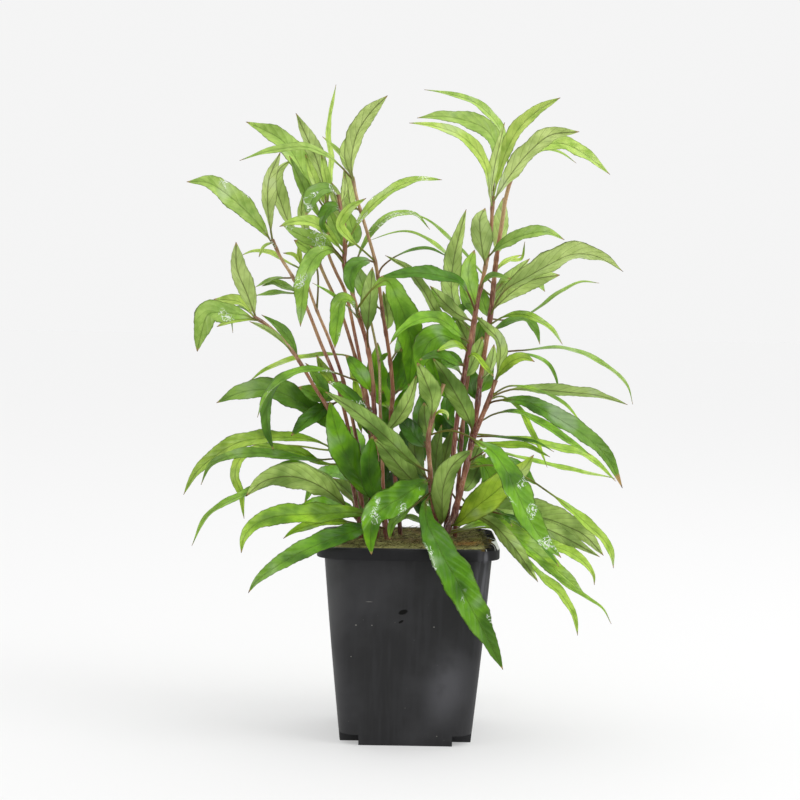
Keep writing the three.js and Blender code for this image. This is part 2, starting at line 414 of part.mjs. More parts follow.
      [[[48.7, 281, -2.5], [58, 293, -14], [66, 296.3, -23], [74, 294.5, -28], [81.4, 289.8, -32]],
        3, 40, 40, 0.3, 0.1],
      [[[48.5, 281, -3], [46.5, 292, -16], [44, 303, -28], [39, 311.5, -36], [30, 319, -41],
        [18, 323, -45], [4.3, 325.2, -49]], 6, 40, 40, 0.4, 0.1],
      [[[42, 241, -10], [43.5, 250, -14], [44.5, 260, -16], [45, 272, -17]], 9, -70, -70, 0.5, 0.08],
      [[[33, 157, -1.5], [37.5, 160, -6], [42, 162.5, -4], [53, 164, 4], [66, 158.5, 14], [80, 150, 20],
        [92, 142.5, 22]], 6.5, 35, 40, 0.4, 0.2],
      [[[32, 152.5, -1], [45, 151.6, -9], [60, 149.5, -15], [74, 146, -19], [90, 142, -23],
        [105, 129.5, -25]], 7, 40, 40, 0.6, 0.2],
      [[[31.2, 147, 0], [47, 143, -22], [62, 139.3, -34], [82, 135, -44], [104.5, 131, -50]],
        4.5, 35, 35, 0.8, 0.2],
      [[[31.4, 148.3, 0], [40, 147.3, 7], [50, 146.8, 11], [60, 146.3, 13], [71.3, 141.3, 14]],
        5.5, 45, 45, 0.7, 0.1],
      [[[32, 151, -0.5], [42, 151.3, -4], [55, 149.9, -2], [64, 148.7, 0], [73.2, 144, 1]],
        3, 35, 35, 0.1, 0.2],
      [[[40.5, 171.8, 6], [50, 177, 10], [64, 175, 12], [77, 169, 14], [87.3, 158.5, 16]],
        3.5, 35, 35, 0.6, 0.2],
      [[[40, 170, 6], [47, 171.5, -5], [55, 165.5, -8], [61, 155, -10], [66.5, 144, -11], [70, 136, -11]],
        4.5, 40, 40, 0.8, 0.2],
      [[[36.3, 190, -7], [46, 194, -13], [56, 195.2, -17], [78, 196.3, -23], [96, 189.5, -27],
        [109, 179, -29], [112.7, 168.7, -29]], 4.5, 28, 30, 0.1, 0.2],
      [[[43, 179.5, 6], [46.5, 185, 10], [51, 189.5, 14], [57, 191.5, 17], [62.5, 189.5, 18]],
        7, 55, 55, 0.9, 0.08],
      [[[43, 180, 6], [47, 188, 1], [54, 192.5, -6], [64, 191.5, -12], [70.5, 186.5, -16], [74, 179, -19],
        [73.3, 172, -20]], 4, 30, 35, 0.3, 0.15],
      [[[43, 179.8, 6], [44.5, 187, 9], [45.3, 194, 12], [43.5, 201, 15], [38.5, 206, 18],
        [32, 212.3, 20]], 7.5, -55, -55, 0.9, 0.08],
      [[[39.3, 207.5, -9], [46, 211.8, -3], [54, 213.3, 3], [63, 211, 8], [71, 205.5, 11],
        [76.4, 198.5, 12]], 5, 45, 45, 0.6, 0.15],
      [[[38.8, 204, -8.5], [44, 206.5, -14], [51, 210, -18], [57.5, 210.8, -21], [62, 206.5, -23],
        [65, 198.3, -24]], 6.5, 45, 45, 0.1, 0.1],
      [[[39.6, 211, -9], [48, 210.5, -24], [57, 212.5, -33], [66.5, 218.4, -38], [75, 225, -42],
        [85, 230, -45], [94.3, 229.8, -48]], 4, 25, 25, 0.2, 0.3],
      [[[39.8, 213, -9], [41, 219, -15], [45, 226, -19], [52, 234, -21], [59, 241.5, -23]],
        8, -60, -60, 0.4, 0.1],
      [[[41.5, 235, -10], [48, 240.3, -16], [55, 243.3, -20]], 4, 40, 40, 0.9, 0.1],
      [[[41.6, 236.5, -10], [48, 240.5, -24], [55, 241.5, -30], [56.3, 250, -31]], 3, 50, 50, 0.9, 0.1],
      [[[41, 228, -10], [33, 236, -24], [26, 243.5, -32], [17, 252, -39], [8, 259.5, -45],
        [-3, 264.3, -50]], 3, 35, 35, 0.3, 0.1],
      [[[40.5, 222, -10], [33, 228, -26], [25.5, 234, -34], [18, 242, -42], [5, 251.5, -50],
        [-6, 254, -55], [-23, 249, -60]], 3.5, 30, 30, 0.7, 0.1],
      [[[40.6, 223, -10], [47, 230, -20], [55, 233, -32], [62, 231, -44], [67, 225, -54]],
        9, 60, 60, 0.4, 0.15],
      [[[29, 136, 1.5], [36, 137.8, -6], [40.5, 131, -12], [41, 121, -15], [39, 112, -16]],
        12, 70, 70, 0.6, 0.12],
      [[[24.3, 115.5, 5], [35, 114.5, 6], [46, 112, 15], [55, 109, 26], [62, 103.5, 36], [69, 95.5, 42],
        [77, 85.3, 45]], 6, 45, 45, 0, 0.3],
      [[[24, 114, 5], [36, 117, 0], [45, 113.8, 3], [50, 109.3, 7], [53, 105.3, 9]], 3, 45, 45, 0.3, 0.6],
      [[[28.7, 135, 2], [42, 136.5, -6], [59, 130.8, -13], [70, 124, -18], [80, 116.5, -22],
        [90, 108, -25], [99, 100, -27], [103, 93.5, -28], [104.8, 85, -28]], 7, 50, 55, 0.7, 0.5],
      [[[19.4, 101, 7.2], [30, 103.5, 2], [44, 104.5, -5], [56, 97, -10], [70, 85.5, -11],
        [82, 75.5, -12], [92, 69.5, -13], [99.5, 64.5, -14], [104.3, 56.5, -14]], 4.5, 50, 50, 0.6, 0.15],
      [[[29.7, 138, 1.5], [34, 141, 5], [38, 143.5, 8]], 1.2, 45, 45, 0, 0.9],
      [[[40.3, 171.2, 6], [50, 175, 0], [62, 175.8, -4], [78, 174.6, -8], [95, 173, -11],
        [110, 168.5, -12]], 8, -48, -45, 0.2, 0.15],
      [[[26, 122, 4], [31, 127, -5], [34.5, 134.2, -11], [38.5, 142.7, -15]], 9, -65, -65, 0.4, 0.12],
    ],
  },
};

// A place on the plant, from where it is seen and how far in front of the upright plane it stands.
function seen([x, z, d]) {
  const onPlane = new THREE.Vector3(x, 0, z);
  return onPlane.lerp(EYE, d / -EYE.y);
}

// A closed body through rings of points, each ring counter-clockwise as seen from the next ring's side.
// The diagonals of a thin body are mirrored on every second side, so that its two faces keep their distance.
function loft(rings, thin = false) {
  const sides = rings[0].length;
  const positions = rings.flat().flatMap((point) => [point.x, point.y, point.z]);
  const index = [];
  for (let ring = 0; ring < rings.length - 1; ring += 1) {
    for (let side = 0; side < sides; side += 1) {
      const next = (side + 1) % sides;
      const a = ring * sides + side;
      const b = ring * sides + next;
      if (thin && side % 2 === 1) {
        index.push(a, b, a + sides, b, b + sides, a + sides);
      } else {
        index.push(a, b, b + sides, a, b + sides, a + sides);
      }
    }
  }
  const last = (rings.length - 1) * sides;
  for (let side = 1; side < sides - 1; side += 1) {
    index.push(0, side + 1, side, last, last + side, last + side + 1);
  }
  const geometry = new THREE.BufferGeometry();
  geometry.setAttribute('position', new THREE.Float32BufferAttribute(positions, 3));
  geometry.setIndex(index);
  return geometry;
}

function toSolid(geometry) {
  const bare = geometry.clone();
  bare.deleteAttribute('normal');
  bare.deleteAttribute('uv');
  const merged = mergeVertices(bare, 1e-4);
  return new wasm.Manifold(new wasm.Mesh({
    numProp: 3,
    vertProperties: new Float32Array(merged.attributes.position.array),
    triVerts: new Uint32Array(merged.index.array),
  }));
}

function toGeometry(solid) {
  const mesh = solid.getMesh();
  const geometry = new THREE.BufferGeometry();
  geometry.setAttribute('position', new THREE.BufferAttribute(new Float32Array(mesh.vertProperties), 3));
  geometry.setIndex(new THREE.BufferAttribute(new Uint32Array(mesh.triVerts), 1));
  geometry.computeVertexNormals();
  return geometry;
}

// Rounded square of one height, with three points to a corner.
function roundedSquare(side, corner, z) {
  const CORNER_POINTS = 3;
  const points = [];
  const reach = side / 2 - corner;
  const signs = [[1, 1], [-1, 1], [-1, -1], [1, -1]];
  signs.forEach(([sx, sy], quarter) => {
    for (let step = 0; step < CORNER_POINTS; step += 1) {
      const angle = (quarter + step / (CORNER_POINTS - 1)) * Math.PI / 2;
      points.push(new THREE.Vector3(
        sx * reach + corner * Math.cos(angle), sy * reach + corner * Math.sin(angle), z));
    }
  });
  return points;
}

function box(sizeX, sizeY, sizeZ, x, y, z) {
  return toSolid(new THREE.BoxGeometry(sizeX, sizeY, sizeZ).translate(x, y, z));
}

// The body's outer side length at a height: the walls flare from the foot to the rim.
function bodySide(z) {
  return THREE.MathUtils.lerp(BODY_FOOT_SIDE, BODY_TOP_SIDE, z / (POT_HEIGHT - RIM_SKIRT));
}

function makePot() {
  const flareTop = POT_HEIGHT - RIM_PLATE;
  const skirtFoot = POT_HEIGHT - RIM_SKIRT;
  const body = loft([
    roundedSquare(bodySide(0), BODY_CORNER, 0),
    roundedSquare(bodySide(flareTop), BODY_CORNER, flareTop),
  ]);
  const rim = loft([
    roundedSquare(RIM_SIDE, RIM_CORNER, skirtFoot),
    roundedSquare(RIM_SIDE, RIM_CORNER, POT_HEIGHT - RIM_BEVEL),
    roundedSquare(RIM_SIDE - 2 * RIM_BEVEL, RIM_CORNER - RIM_BEVEL, POT_HEIGHT),
  ]);
  const underRim = loft([
    roundedSquare(RIM_SIDE - 2 * WALL, RIM_CORNER - WALL, skirtFoot - PAST),
    roundedSquare(RIM_SIDE - 2 * WALL, RIM_CORNER - WALL, flareTop),
  ]);
  const inside = loft([
    roundedSquare(bodySide(WALL) - 2 * WALL, BODY_CORNER - WALL, WALL),
    roundedSquare(bodySide(POT_HEIGHT + PAST) - 2 * WALL, BODY_CORNER - WALL, POT_HEIGHT + PAST),
  ]);
  const corners = [[1, 1], [-1, 1], [-1, -1], [1, -1]];
  const outerEdge = BODY_FOOT_SIDE / 2 + PAST;
  const innerEdge = BODY_FOOT_SIDE / 2 - NOTCH_SIDE;

  // The foot's four corners are raised off the table, with a drain hole in each raised floor.
  function cornerBlock(sx, sy, inset, top, foot) {
    const side = outerEdge - innerEdge + inset;
    const middle = outerEdge - side / 2;
    return box(side, side, top - foot, sx * middle, sy * middle, (top + foot) / 2);
  }
  let hollow = toSolid(inside);
  for (const [sx, sy] of corners) {
    hollow = hollow.subtract(cornerBlock(sx, sy, WALL, NOTCH_HEIGHT + WALL, 0));
  }
  let pot = toSolid(rim).subtract(toSolid(underRim)).add(toSolid(body)).subtract(hollow);
  for (const [sx, sy] of corners) {
    const drainPlace = BODY_FOOT_SIDE / 2 - DRAIN_INSET;
    const drain = new THREE.CylinderGeometry(DRAIN_RADIUS, DRAIN_RADIUS, 2 * (WALL + PAST), 8);
    drain.rotateX(Math.PI / 2).translate(sx * drainPlace, sy * drainPlace, NOTCH_HEIGHT);
    pot = pot.subtract(cornerBlock(sx, sy, 0, NOTCH_HEIGHT, -PAST)).subtract(toSolid(drain));
  }
  return toGeometry(pot);
}

function makeBlock() {
  const foot = NOTCH_HEIGHT + WALL + GAP;
  return loft([
    roundedSquare(BLOCK_FOOT_SIDE, BLOCK_CORNER, foot),
    roundedSquare(BLOCK_TOP_SIDE, BLOCK_CORNER, BLOCK_TOP - BLOCK_BEVEL),
    roundedSquare(BLOCK_TOP_SIDE - 2 * BLOCK_BEVEL, BLOCK_CORNER - 1, BLOCK_TOP),
  ]);
}

// A five-sided tube along points, thinning from the first radius to the last, with a level foot.
function tube(points, firstRadius, lastRadius) {
  const curve = new THREE.CatmullRomCurve3(points, false, 'centripetal');
  const steps = points.length - 1;
  const rings = [];
  for (let step = 0; step <= steps; step += 1) {
    const centre = points[step];
    const t = step / steps;
    const along = step === 0 ? new THREE.Vector3(0, 0, 1) : curve.getTangent(t);
    const side = new THREE.Vector3(0, 1, 0).cross(along).normalize();
    const front = along.clone().cross(side).normalize();
    const radius = THREE.MathUtils.lerp(firstRadius, lastRadius, t);
    const ring = [];
    for (let corner = 0; corner < STEM_SIDES; corner += 1) {
      const angle = (corner / STEM_SIDES) * 2 * Math.PI;
      ring.push(centre.clone()
        .addScaledVector(side, radius * Math.cos(angle))
        .addScaledVector(front, radius * Math.sin(angle)));
    }
    rings.push(ring);
  }
  return loft(rings);
}

// Half the leaf's width at a share of its length: a thin stalk, then a lance-shaped blade.
function halfWidth(share, width, stalk) {
  if (share <= stalk) {
    return STALK_HALF;
  }
  const u = (share - stalk) / (1 - stalk);
  const blade = Math.sin(Math.PI * u ** BLADE_LEAN) ** BLADE_FULLNESS;
  return Math.max(STALK_HALF * (1 - u) + LEAST_HALF, (width / 2) * blade);
}

// The place nearest to a point on the centre lines of a shoot's stem and branches.
function nearestOn(lines, point) {
  let best = lines[0][0];
  for (const line of lines) {
    for (let i = 0; i < line.length - 1; i += 1) {
      const span = new THREE.Line3(line[i], line[i + 1]);
      const place = span.closestPointToPoint(point, true, new THREE.Vector3());
      if (place.distanceTo(point) < best.distanceTo(point)) {
        best = place;
      }
    }
  }
  return best;
}

// A thin closed leaf, folded slightly along its midrib, turned to the eye as the turns say.
function makeLeaf([points, width, baseTurn, tipTurn, , stalk], lines) {
  const places = points.map(seen);
  places[0] = nearestOn(lines, places[0]);
  const curve = new THREE.CatmullRomCurve3(places, false, 'centripetal');
  const steps = THREE.MathUtils.clamp(points.length, LEAST_LEAF_STEPS, MOST_LEAF_STEPS);
  const rings = [];
  for (let step = 0; step <= steps; step += 1) {
    const share = step / steps;
    const centre = curve.getPointAt(share);
    const along = curve.getTangentAt(share);
    const bladeAlong = curve.getTangentAt(Math.max(share, stalk));
    const toEye = EYE.clone().sub(centre).normalize();
    toEye.addScaledVector(bladeAlong, -toEye.dot(bladeAlong)).normalize();
    const upper = toEye.clone().cross(bladeAlong).normalize();
    const middleAlong = curve.getTangentAt(0.5);
    const turn = THREE.MathUtils.degToRad(THREE.MathUtils.lerp(baseTurn, tipTurn, share));
    const sign = toEye.clone().cross(middleAlong).z >= 0 ? 1 : -1;
    const normal = toEye.clone().multiplyScalar(Math.sin(turn))
      .addScaledVector(upper, sign * Math.cos(turn));
    normal.addScaledVector(along, -normal.dot(along)).normalize();
    const side = along.clone().cross(normal).normalize();
    const half = share === 1 ? TIP_SHARE * width / 2 : halfWidth(share, width, stalk);
    const lift = share <= stalk ? 0 : half * LEAF_FOLD;
    const rib = share === 1 ? LEAF_RIB / 4 : LEAF_RIB / 2;
    rings.push([
      centre.clone().addScaledVector(side, half).addScaledVector(normal, lift),
      centre.clone().addScaledVector(normal, -rib),
      centre.clone().addScaledVector(side, -half).addScaledVector(normal, lift),
      centre.clone().addScaledVector(normal, rib),
    ]);
  }
  return toSolid(loft(rings, true));
}

function leafMaterial(youth) {
  const old = new THREE.Color('#2f6a1c');
  const young = new THREE.Color('#9cc23c');
  return new THREE.MeshStandardMaterial({ color: old.lerp(young, youth), roughness: 0.42, metalness: 0 });
}

const plant = new THREE.Group();
plant.name = 'potted_hygrophila';

function addPiece(name, geometry, material) {
  const mesh = new THREE.Mesh(geometry, material);
  mesh.name = name;
  plant.add(mesh);
}

addPiece('pot', makePot(), new THREE.MeshStandardMaterial({ color: '#26272a', roughness: 0.42 }));
const fibre = new THREE.MeshStandardMaterial({ color: '#6b6430', roughness: 0.95 });
addPiece('growing_block', makeBlock(), fibre);

function makeShoot(name, shoot) {
  const [firstRadius, lastRadius] = shoot.thick;
  const foot = new THREE.Vector3(shoot.foot[0], shoot.foot[1], BLOCK_TOP + GAP);
  const stemPoints = [foot, ...shoot.stem.map(seen)];
  let solid = toSolid(tube(stemPoints, firstRadius, lastRadius));
  let clearance = toSolid(tube(stemPoints, firstRadius + GAP, lastRadius + GAP));
  const lines = [stemPoints];
  for (const branch of shoot.branches) {
    const points = branch.map(seen);
    lines.push(points);
    solid = solid.add(toSolid(tube(points, lastRadius, lastRadius * BRANCH_TAPER)));
    clearance = clearance.add(toSolid(tube(points, lastRadius + GAP, lastRadius * BRANCH_TAPER + GAP)));
  }
  for (const row of shoot.small) {
    solid = solid.add(makeLeaf(row, lines));
  }
  const bark = new THREE.MeshStandardMaterial({ color: '#6d4a34', roughness: 0.5 });
  addPiece(`shoot_${name}`, toGeometry(solid.simplify(UNION_TOLERANCE)), bark);
  shoot.leaves.forEach((row, count) => {
    const pieces = makeLeaf(row, lines).subtract(clearance).decompose();
    const blade = pieces.reduce((best, piece) => (piece.volume() > best.volume() ? piece : best));
    addPiece(`leaf_${name}_${count + 1}`, toGeometry(blade.simplify(UNION_TOLERANCE)), leafMaterial(row[4]));
  });
}

for (const [name, shoot] of Object.entries(SHOOTS)) {
  makeShoot(name, shoot);
}

export default plant;
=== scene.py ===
# Potted hygrophila angustifolia: a black square nursery pot, its fibrous growing block and twelve leafy
# shoots. Metres, +Z up, the front towards -Y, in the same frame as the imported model.
import math

import bpy
import numpy as np
from mathutils import Matrix, Vector, noise


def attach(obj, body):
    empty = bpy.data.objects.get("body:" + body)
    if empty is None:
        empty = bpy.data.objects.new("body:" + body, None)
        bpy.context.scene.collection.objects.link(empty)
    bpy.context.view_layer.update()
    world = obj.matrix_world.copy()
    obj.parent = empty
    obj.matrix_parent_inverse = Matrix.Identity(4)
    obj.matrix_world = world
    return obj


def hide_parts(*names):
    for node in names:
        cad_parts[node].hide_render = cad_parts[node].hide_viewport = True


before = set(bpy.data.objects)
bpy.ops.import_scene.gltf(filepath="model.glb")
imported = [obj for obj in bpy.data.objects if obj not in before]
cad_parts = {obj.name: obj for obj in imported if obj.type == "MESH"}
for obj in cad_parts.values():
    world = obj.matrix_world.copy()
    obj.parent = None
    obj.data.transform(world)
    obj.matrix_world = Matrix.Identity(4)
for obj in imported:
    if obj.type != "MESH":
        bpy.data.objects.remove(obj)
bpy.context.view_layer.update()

# Camera: the photo was taken from just above the leaves' middle, with a long lens, tipped a little down
# and turned a little on its side.
EYE = np.array((-0.0053, -0.888, 0.214))
LENS = 79
FILM_WIDTH = 36
TIPPED_DOWN = 2.9
TIPPED_ASIDE = 0.94


def put(name, data):
    """A new object in the scene, made of a mesh, curve, light or camera."""
    made = bpy.data.objects.new(name, data)
    bpy.context.scene.collection.objects.link(made)
    return made


camera_data = bpy.data.cameras.new("photo_camera")
camera_data.lens = LENS
camera_data.sensor_width = FILM_WIDTH
camera = put("photo_camera", camera_data)
tip_down = Matrix.Rotation(math.radians(90 - TIPPED_DOWN), 4, "X")
tip_aside = Matrix.Rotation(math.radians(TIPPED_ASIDE), 4, "Z")
camera.matrix_world = Matrix.Translation(Vector(EYE)) @ tip_down @ tip_aside
bpy.context.scene.camera = camera
bpy.context.scene.view_settings.view_transform = "Standard"


# Table: a wide lit sheet of frosted white acrylic that runs out of sight, as on a product-photo table. It
# is lit from below, so that shadows on it stay faint.
def paint(code):
    """An sRGB hex colour as linear red, green, blue and 1."""
    parts = [int(code[i:i + 2], 16) / 255 for i in (1, 3, 5)]
    return (*[c / 12.92 if c <= 0.04045 else ((c + 0.055) / 1.055) ** 2.4 for c in parts], 1.0)


def add(tree, kind, inputs=(), stops=(), **settings):
    """Adds one node with its settings, its colour stops, and its inputs, given in order or by name. A node
    among the inputs stands for its first output, and a hex code for a colour."""
    node = tree.nodes.new(kind if "Node" in kind else "ShaderNode" + kind)
    for name, value in settings.items():
        setattr(node, name, value)
    for number, (position, code) in enumerate(stops):
        elements = node.color_ramp.elements
        stop = elements[number] if number < 2 else elements.new(position)
        stop.position = position
        stop.color = paint(code)
    if isinstance(inputs, dict):
        pairs = [(node.inputs[name], value) for name, value in inputs.items()]
    else:
        pairs = zip([socket for socket in node.inputs if socket.enabled], inputs)
    for socket, value in pairs:
        if isinstance(value, bpy.types.Node):
            value = next(output for output in value.outputs if output.enabled)
        if isinstance(value, bpy.types.NodeSocket):
            tree.links.new(value, socket)
        elif str(value).startswith("#"):
            socket.default_value = paint(value)
        else:
            socket.default_value = value
    return node


def start_material(name):
    """A new material with an empty tree, and its tree."""
    material = bpy.data.materials.new(name)
    material.use_nodes = True
    material.node_tree.nodes.clear()
    return material, material.node_tree


def surface(tree, colour, roughness, specular, relief, strength, depth, lowered=False, more=()):
    """Ends a material with its colour, its gloss and a fine relief, whose depth is in metres."""
    bump = add(tree, "Bump", {"Height": relief, "Strength": strength, "Distance": depth}, invert=lowered)
    shader = add(tree, "BsdfPrincipled", {
        "Base Color": colour, "Roughness": roughness, "Specular IOR Level": specular, "Normal": bump,
        **dict(more)})
    add(tree, "OutputMaterial", {"Surface": shader})


TABLE_REACH = 14.0
board, tree = start_material("lit_frosted_acrylic")
place = add(tree, "TexCoord").outputs["Object"]
surface(tree, "#bababa", 0.8, 0.0, add(tree, "TexNoise", (place, 400.0)), 0.02, 0.0002,
        more={"Emission Strength": 0.38, "Emission Color": "#ffffff"})
table_mesh = bpy.data.meshes.new("table")
corners = [(x * TABLE_REACH, y * TABLE_REACH, 0) for x, y in ((-1, -1), (1, -1), (1, 1), (-1, 1))]
table_mesh.from_pydata(corners, [], [(0, 1, 2, 3)])
table_mesh.materials.append(board)
table = put("table", table_mesh)

# Light: a white studio, brightest overhead and darker behind the camera, with a large soft panel high on
# the right that throws the soft shadow to the left. Two bright strobes in front of the plant only glint;
# the white sparks on wet leaves and on the rim are mostly painted into their colour as glints.
room = bpy.data.worlds.new("white_studio")
bpy.context.scene.world = room
room.use_nodes = True
room.node_tree.nodes.clear()
SMOOTH = {"interpolation_type": "SMOOTHSTEP"}
towards = add(room.node_tree, "TexCoord").outputs["Generated"]
towards = add(room.node_tree, "SeparateXYZ", (towards,)).outputs
overhead = add(room.node_tree, "MapRange", (towards["Z"], 0.25, 0.85, 0.0, 0.45), **SMOOTH)
in_front = add(room.node_tree, "MapRange", (towards["Y"], -0.75, -0.05, 0.35, 0.91), **SMOOTH)
strength = add(room.node_tree, "Math", (overhead, in_front), operation="ADD")
glow = add(room.node_tree, "Background", {"Color": "#ffffff", "Strength": strength})
add(room.node_tree, "OutputWorld", {"Surface": glow})


def light_panel(name, place, aim, size, power, only_glints=False):
    """A square soft panel at a place, facing a point."""
    data = bpy.data.lights.new(name, "AREA")
    data.size = size
    data.energy = power
    panel = put(name, data)
    panel.location = place
    panel.rotation_euler = (Vector(aim) - Vector(place)).to_track_quat("-Z", "Y").to_euler()
    panel.visible_diffuse = not only_glints


LEAVES_MIDDLE = (0, 0, 0.15)
light_panel("high_panel", (1.0, -0.5, 1.3), LEAVES_MIDDLE, 0.8, 8.0)
light_panel("left_strobe", (-0.75, -1.1, 1.2), LEAVES_MIDDLE, 0.4, 14.0, True)
light_panel("right_strobe", (0.7, -1.5, 0.95), LEAVES_MIDDLE, 0.35, 10.0, True)

# Pot: a square nursery pot, injection-moulded in thin black polypropylene. Its walls flare and bulge a
# little up to a flat rim with a short turned-down skirt, and the foot's corners stand clear of the table.
MM = 0.001
POT_HEIGHT = 99
RIM_SIDE = 89.6
RIM_CORNER = 12
RIM_SKIRT = 5.3
RIM_PLATE = 1.4
RIM_ROUND = 0.9
BODY_TOP_SIDE = 82.2
BODY_FOOT_SIDE = 65.2
BODY_BULGE = 0.6
BODY_CORNER = 9.5
FOOT_ROUND = 0.4
SKIRT_ROUND = 0.5
WALL = 1.3
NOTCH_SIDE = 9.5
NOTCH_HEIGHT = 5.2
DRAIN_RADIUS = 2.2
DRAIN_INSET = 7
CUT_PAST = 2


def rounded_square(side, corner, z, arc=9, flat=6):
    """Points round a square with rounded corners, anticlockwise, at one height in millimetres."""
    reach = side / 2 - corner
    turns = []
    for quarter, (sx, sy) in enumerate(((1, 1), (-1, 1), (-1, -1), (1, -1))):
        for step in range(arc + 1):
            angle = (quarter + step / arc) * math.pi / 2
            turns.append((sx * reach + corner * math.cos(angle), sy * reach + corner * math.sin(angle)))
    points = []
    for i, (x, y) in enumerate(turns):
        points.append((x, y, z))
        if i % (arc + 1) == arc:
            nx, ny = turns[(i + 1) % len(turns)]
            points += [(x + (nx - x) * s / flat, y + (ny - y) * s / flat, z) for s in range(1, flat)]
    return np.array(points) * MM


def skin(name, rings, materials):
    """A closed mesh object through rings of points, with a cap on each end."""
    count = len(rings[0])
    base = np.arange(count)
    after = (base + 1) % count
    faces = []
    for ring in range(len(rings) - 1):
        low, high = ring * count, (ring + 1) * count
        faces += np.stack([low + base, low + after, high + after, high + base], 1).tolist()
    faces.append(base[::-1].tolist())
    faces.append(((len(rings) - 1) * count + base).tolist())
    mesh = bpy.data.meshes.new(name)
    mesh.from_pydata(np.concatenate(rings).tolist(), [], faces)
    mesh.shade_smooth()
    for material in materials:
        mesh.materials.append(material)
    return put(name, mesh)


def brick(name, sx, sy, near, far, low, high):
    """A box over one corner of the foot, used to cut, with its sides and heights in millimetres."""
    edges = [(near, near), (far, near), (far, far), (near, far)]
    if sx * sy < 0:
        edges.reverse()
    rings = [np.array([(sx * x, sy * y, z) for x, y in edges]) * MM for z in (low, high)]
    return skin(name, rings, [])


def cut_out(piece, tools):
    """Cuts the tools away from a piece, one after another, and removes them."""
    for tool in tools:
        cut = piece.modifiers.new("cut", "BOOLEAN")
        cut.operation = "DIFFERENCE"
        cut.object = tool
        cut.solver = "EXACT"
    graph = bpy.context.evaluated_depsgraph_get()
    mesh = bpy.data.meshes.new_from_object(piece.evaluated_get(graph))
    piece.modifiers.clear()
    piece.data = mesh
    for tool in tools:
        bpy.data.objects.remove(tool)


def body_side(z):
    """The pot body's outer side at a height."""
    share = z / (POT_HEIGHT - RIM_SKIRT)
    return BODY_FOOT_SIDE + (BODY_TOP_SIDE - BODY_FOOT_SIDE) * share + BODY_BULGE * math.sin(math.pi * share)


flare_top = POT_HEIGHT - RIM_PLATE
skirt_foot = POT_HEIGHT - RIM_SKIRT
under = (RIM_SIDE - 2 * WALL, RIM_CORNER - WALL)
profile = [(body_side(0) - 2 * FOOT_ROUND, BODY_CORNER - FOOT_ROUND, 0),
           (body_side(0.3) - 0.2, BODY_CORNER, 0.15)]
profile += [(body_side(z), BODY_CORNER, z) for z in (0.7, *np.linspace(5, flare_top, 16))]
profile += [(*under, flare_top), (*under, skirt_foot + 0.3),
            (under[0] + SKIRT_ROUND, under[1], skirt_foot), (RIM_SIDE - SKIRT_ROUND, RIM_CORNER, skirt_foot),
            (RIM_SIDE, RIM_CORNER, skirt_foot + 0.4)]
for angle in np.radians(np.linspace(0, 90, 6)):
    inset = RIM_ROUND * (1 - math.cos(angle))
    drop = RIM_ROUND * (1 - math.sin(angle))
    profile.append((RIM_SIDE - 2 * inset, RIM_CORNER - inset, POT_HEIGHT - drop))
inner_corner = BODY_CORNER - WALL
inner_top = body_side(POT_HEIGHT) - 2 * WALL
hollow = [(body_side(z) - 2 * WALL, inner_corner, z) for z in (WALL, 12, 30, 60, 80, POT_HEIGHT - 1.2)]
hollow += [(inner_top + 0.3, inner_corner, POT_HEIGHT - 0.4),
           (inner_top + 1.4, inner_corner + 0.5, POT_HEIGHT),
           (inner_top + 2, inner_corner + 0.5, POT_HEIGHT + CUT_PAST)]
far_edge = BODY_FOOT_SIDE / 2 + CUT_PAST
near_edge = BODY_FOOT_SIDE / 2 - NOTCH_SIDE

# The plastic: dull black with soft upright streaks from the mould, faint smudges and a few grains of dust.
# Two small dents stay wet and black on the front wall, and water stands on the right of the rim. Light and
# shade are painted in as well: the left side lighter, the rim and its skirt darker, streaky highlights down
# the right corner and on the skirt there, and on the wet rim a matt black painted reflection of the leaves
# above with painted white glints and a brown painted reflection of the block. The grain of the mould is
# finer than 0.1 mm, and is drawn 0.7 mm coarse so that it shows.
plastic, tree = start_material("moulded_black_polypropylene")
place = add(tree, "TexCoord").outputs["Object"]
parts = add(tree, "SeparateXYZ", (place,)).outputs


def oval(tree, parts, x, z, wide, high, lean, core=0.7):
    """A mask that is 1 inside a leaning oval on the pot's front wall, in millimetres and degrees."""
    across = add(tree, "Math", (parts["X"], x * MM), operation="SUBTRACT")
    up = add(tree, "Math", (parts["Z"], z * MM), operation="SUBTRACT")
    at = add(tree, "CombineXYZ", (across, up))
    turned = add(tree, "VectorRotate", {"Vector": at, "Angle": math.radians(-lean)}, rotation_type="Z_AXIS")
    scaled = add(tree, "VectorMath", (turned, (2 / (wide * MM), 2 / (high * MM), 0)), operation="MULTIPLY")
    far = add(tree, "VectorMath", (scaled,), operation="LENGTH")
    inside = add(tree, "MapRange", (far, core, 1.1, 1.0, 0.0), **SMOOTH)
    at_front = add(tree, "Math", (parts["Y"], -0.02), operation="LESS_THAN")
    return add(tree, "Math", (inside, at_front), operation="MULTIPLY")


drawn_out = add(tree, "Mapping", {"Vector": place, "Scale": (60.0, 60.0, 3.0)})
streak = add(tree, "TexNoise", (drawn_out, 5.0))
haze = add(tree, "TexNoise", (place, 26.0, 4.0))
grain = add(tree, "TexNoise", (place, 1500.0))
soft_smudge = add(tree, "MapRange", (haze, 0.42, 0.7, 0.0, 0.7), **SMOOTH)
mould_streak = add(tree, "MapRange", (streak, 0.4, 0.65, 0.0, 0.5), **SMOOTH)
lit_side = add(tree, "MapRange", (parts["X"], -0.038, -0.027, 0.9, 0.0), **SMOOTH)
patchy = add(tree, "MapRange", (haze, 0.3, 0.6, 0.5, 1.0), **SMOOTH)
lit_side = add(tree, "Math", (lit_side, patchy), operation="MULTIPLY")
rim_shade = add(tree, "MapRange", (parts["Z"], 0.0925, 0.0935, 0.0, 0.7), **SMOOTH)
patchy = add(tree, "MapRange", (haze, 0.4, 0.56, 0.1, 0.6), **SMOOTH)
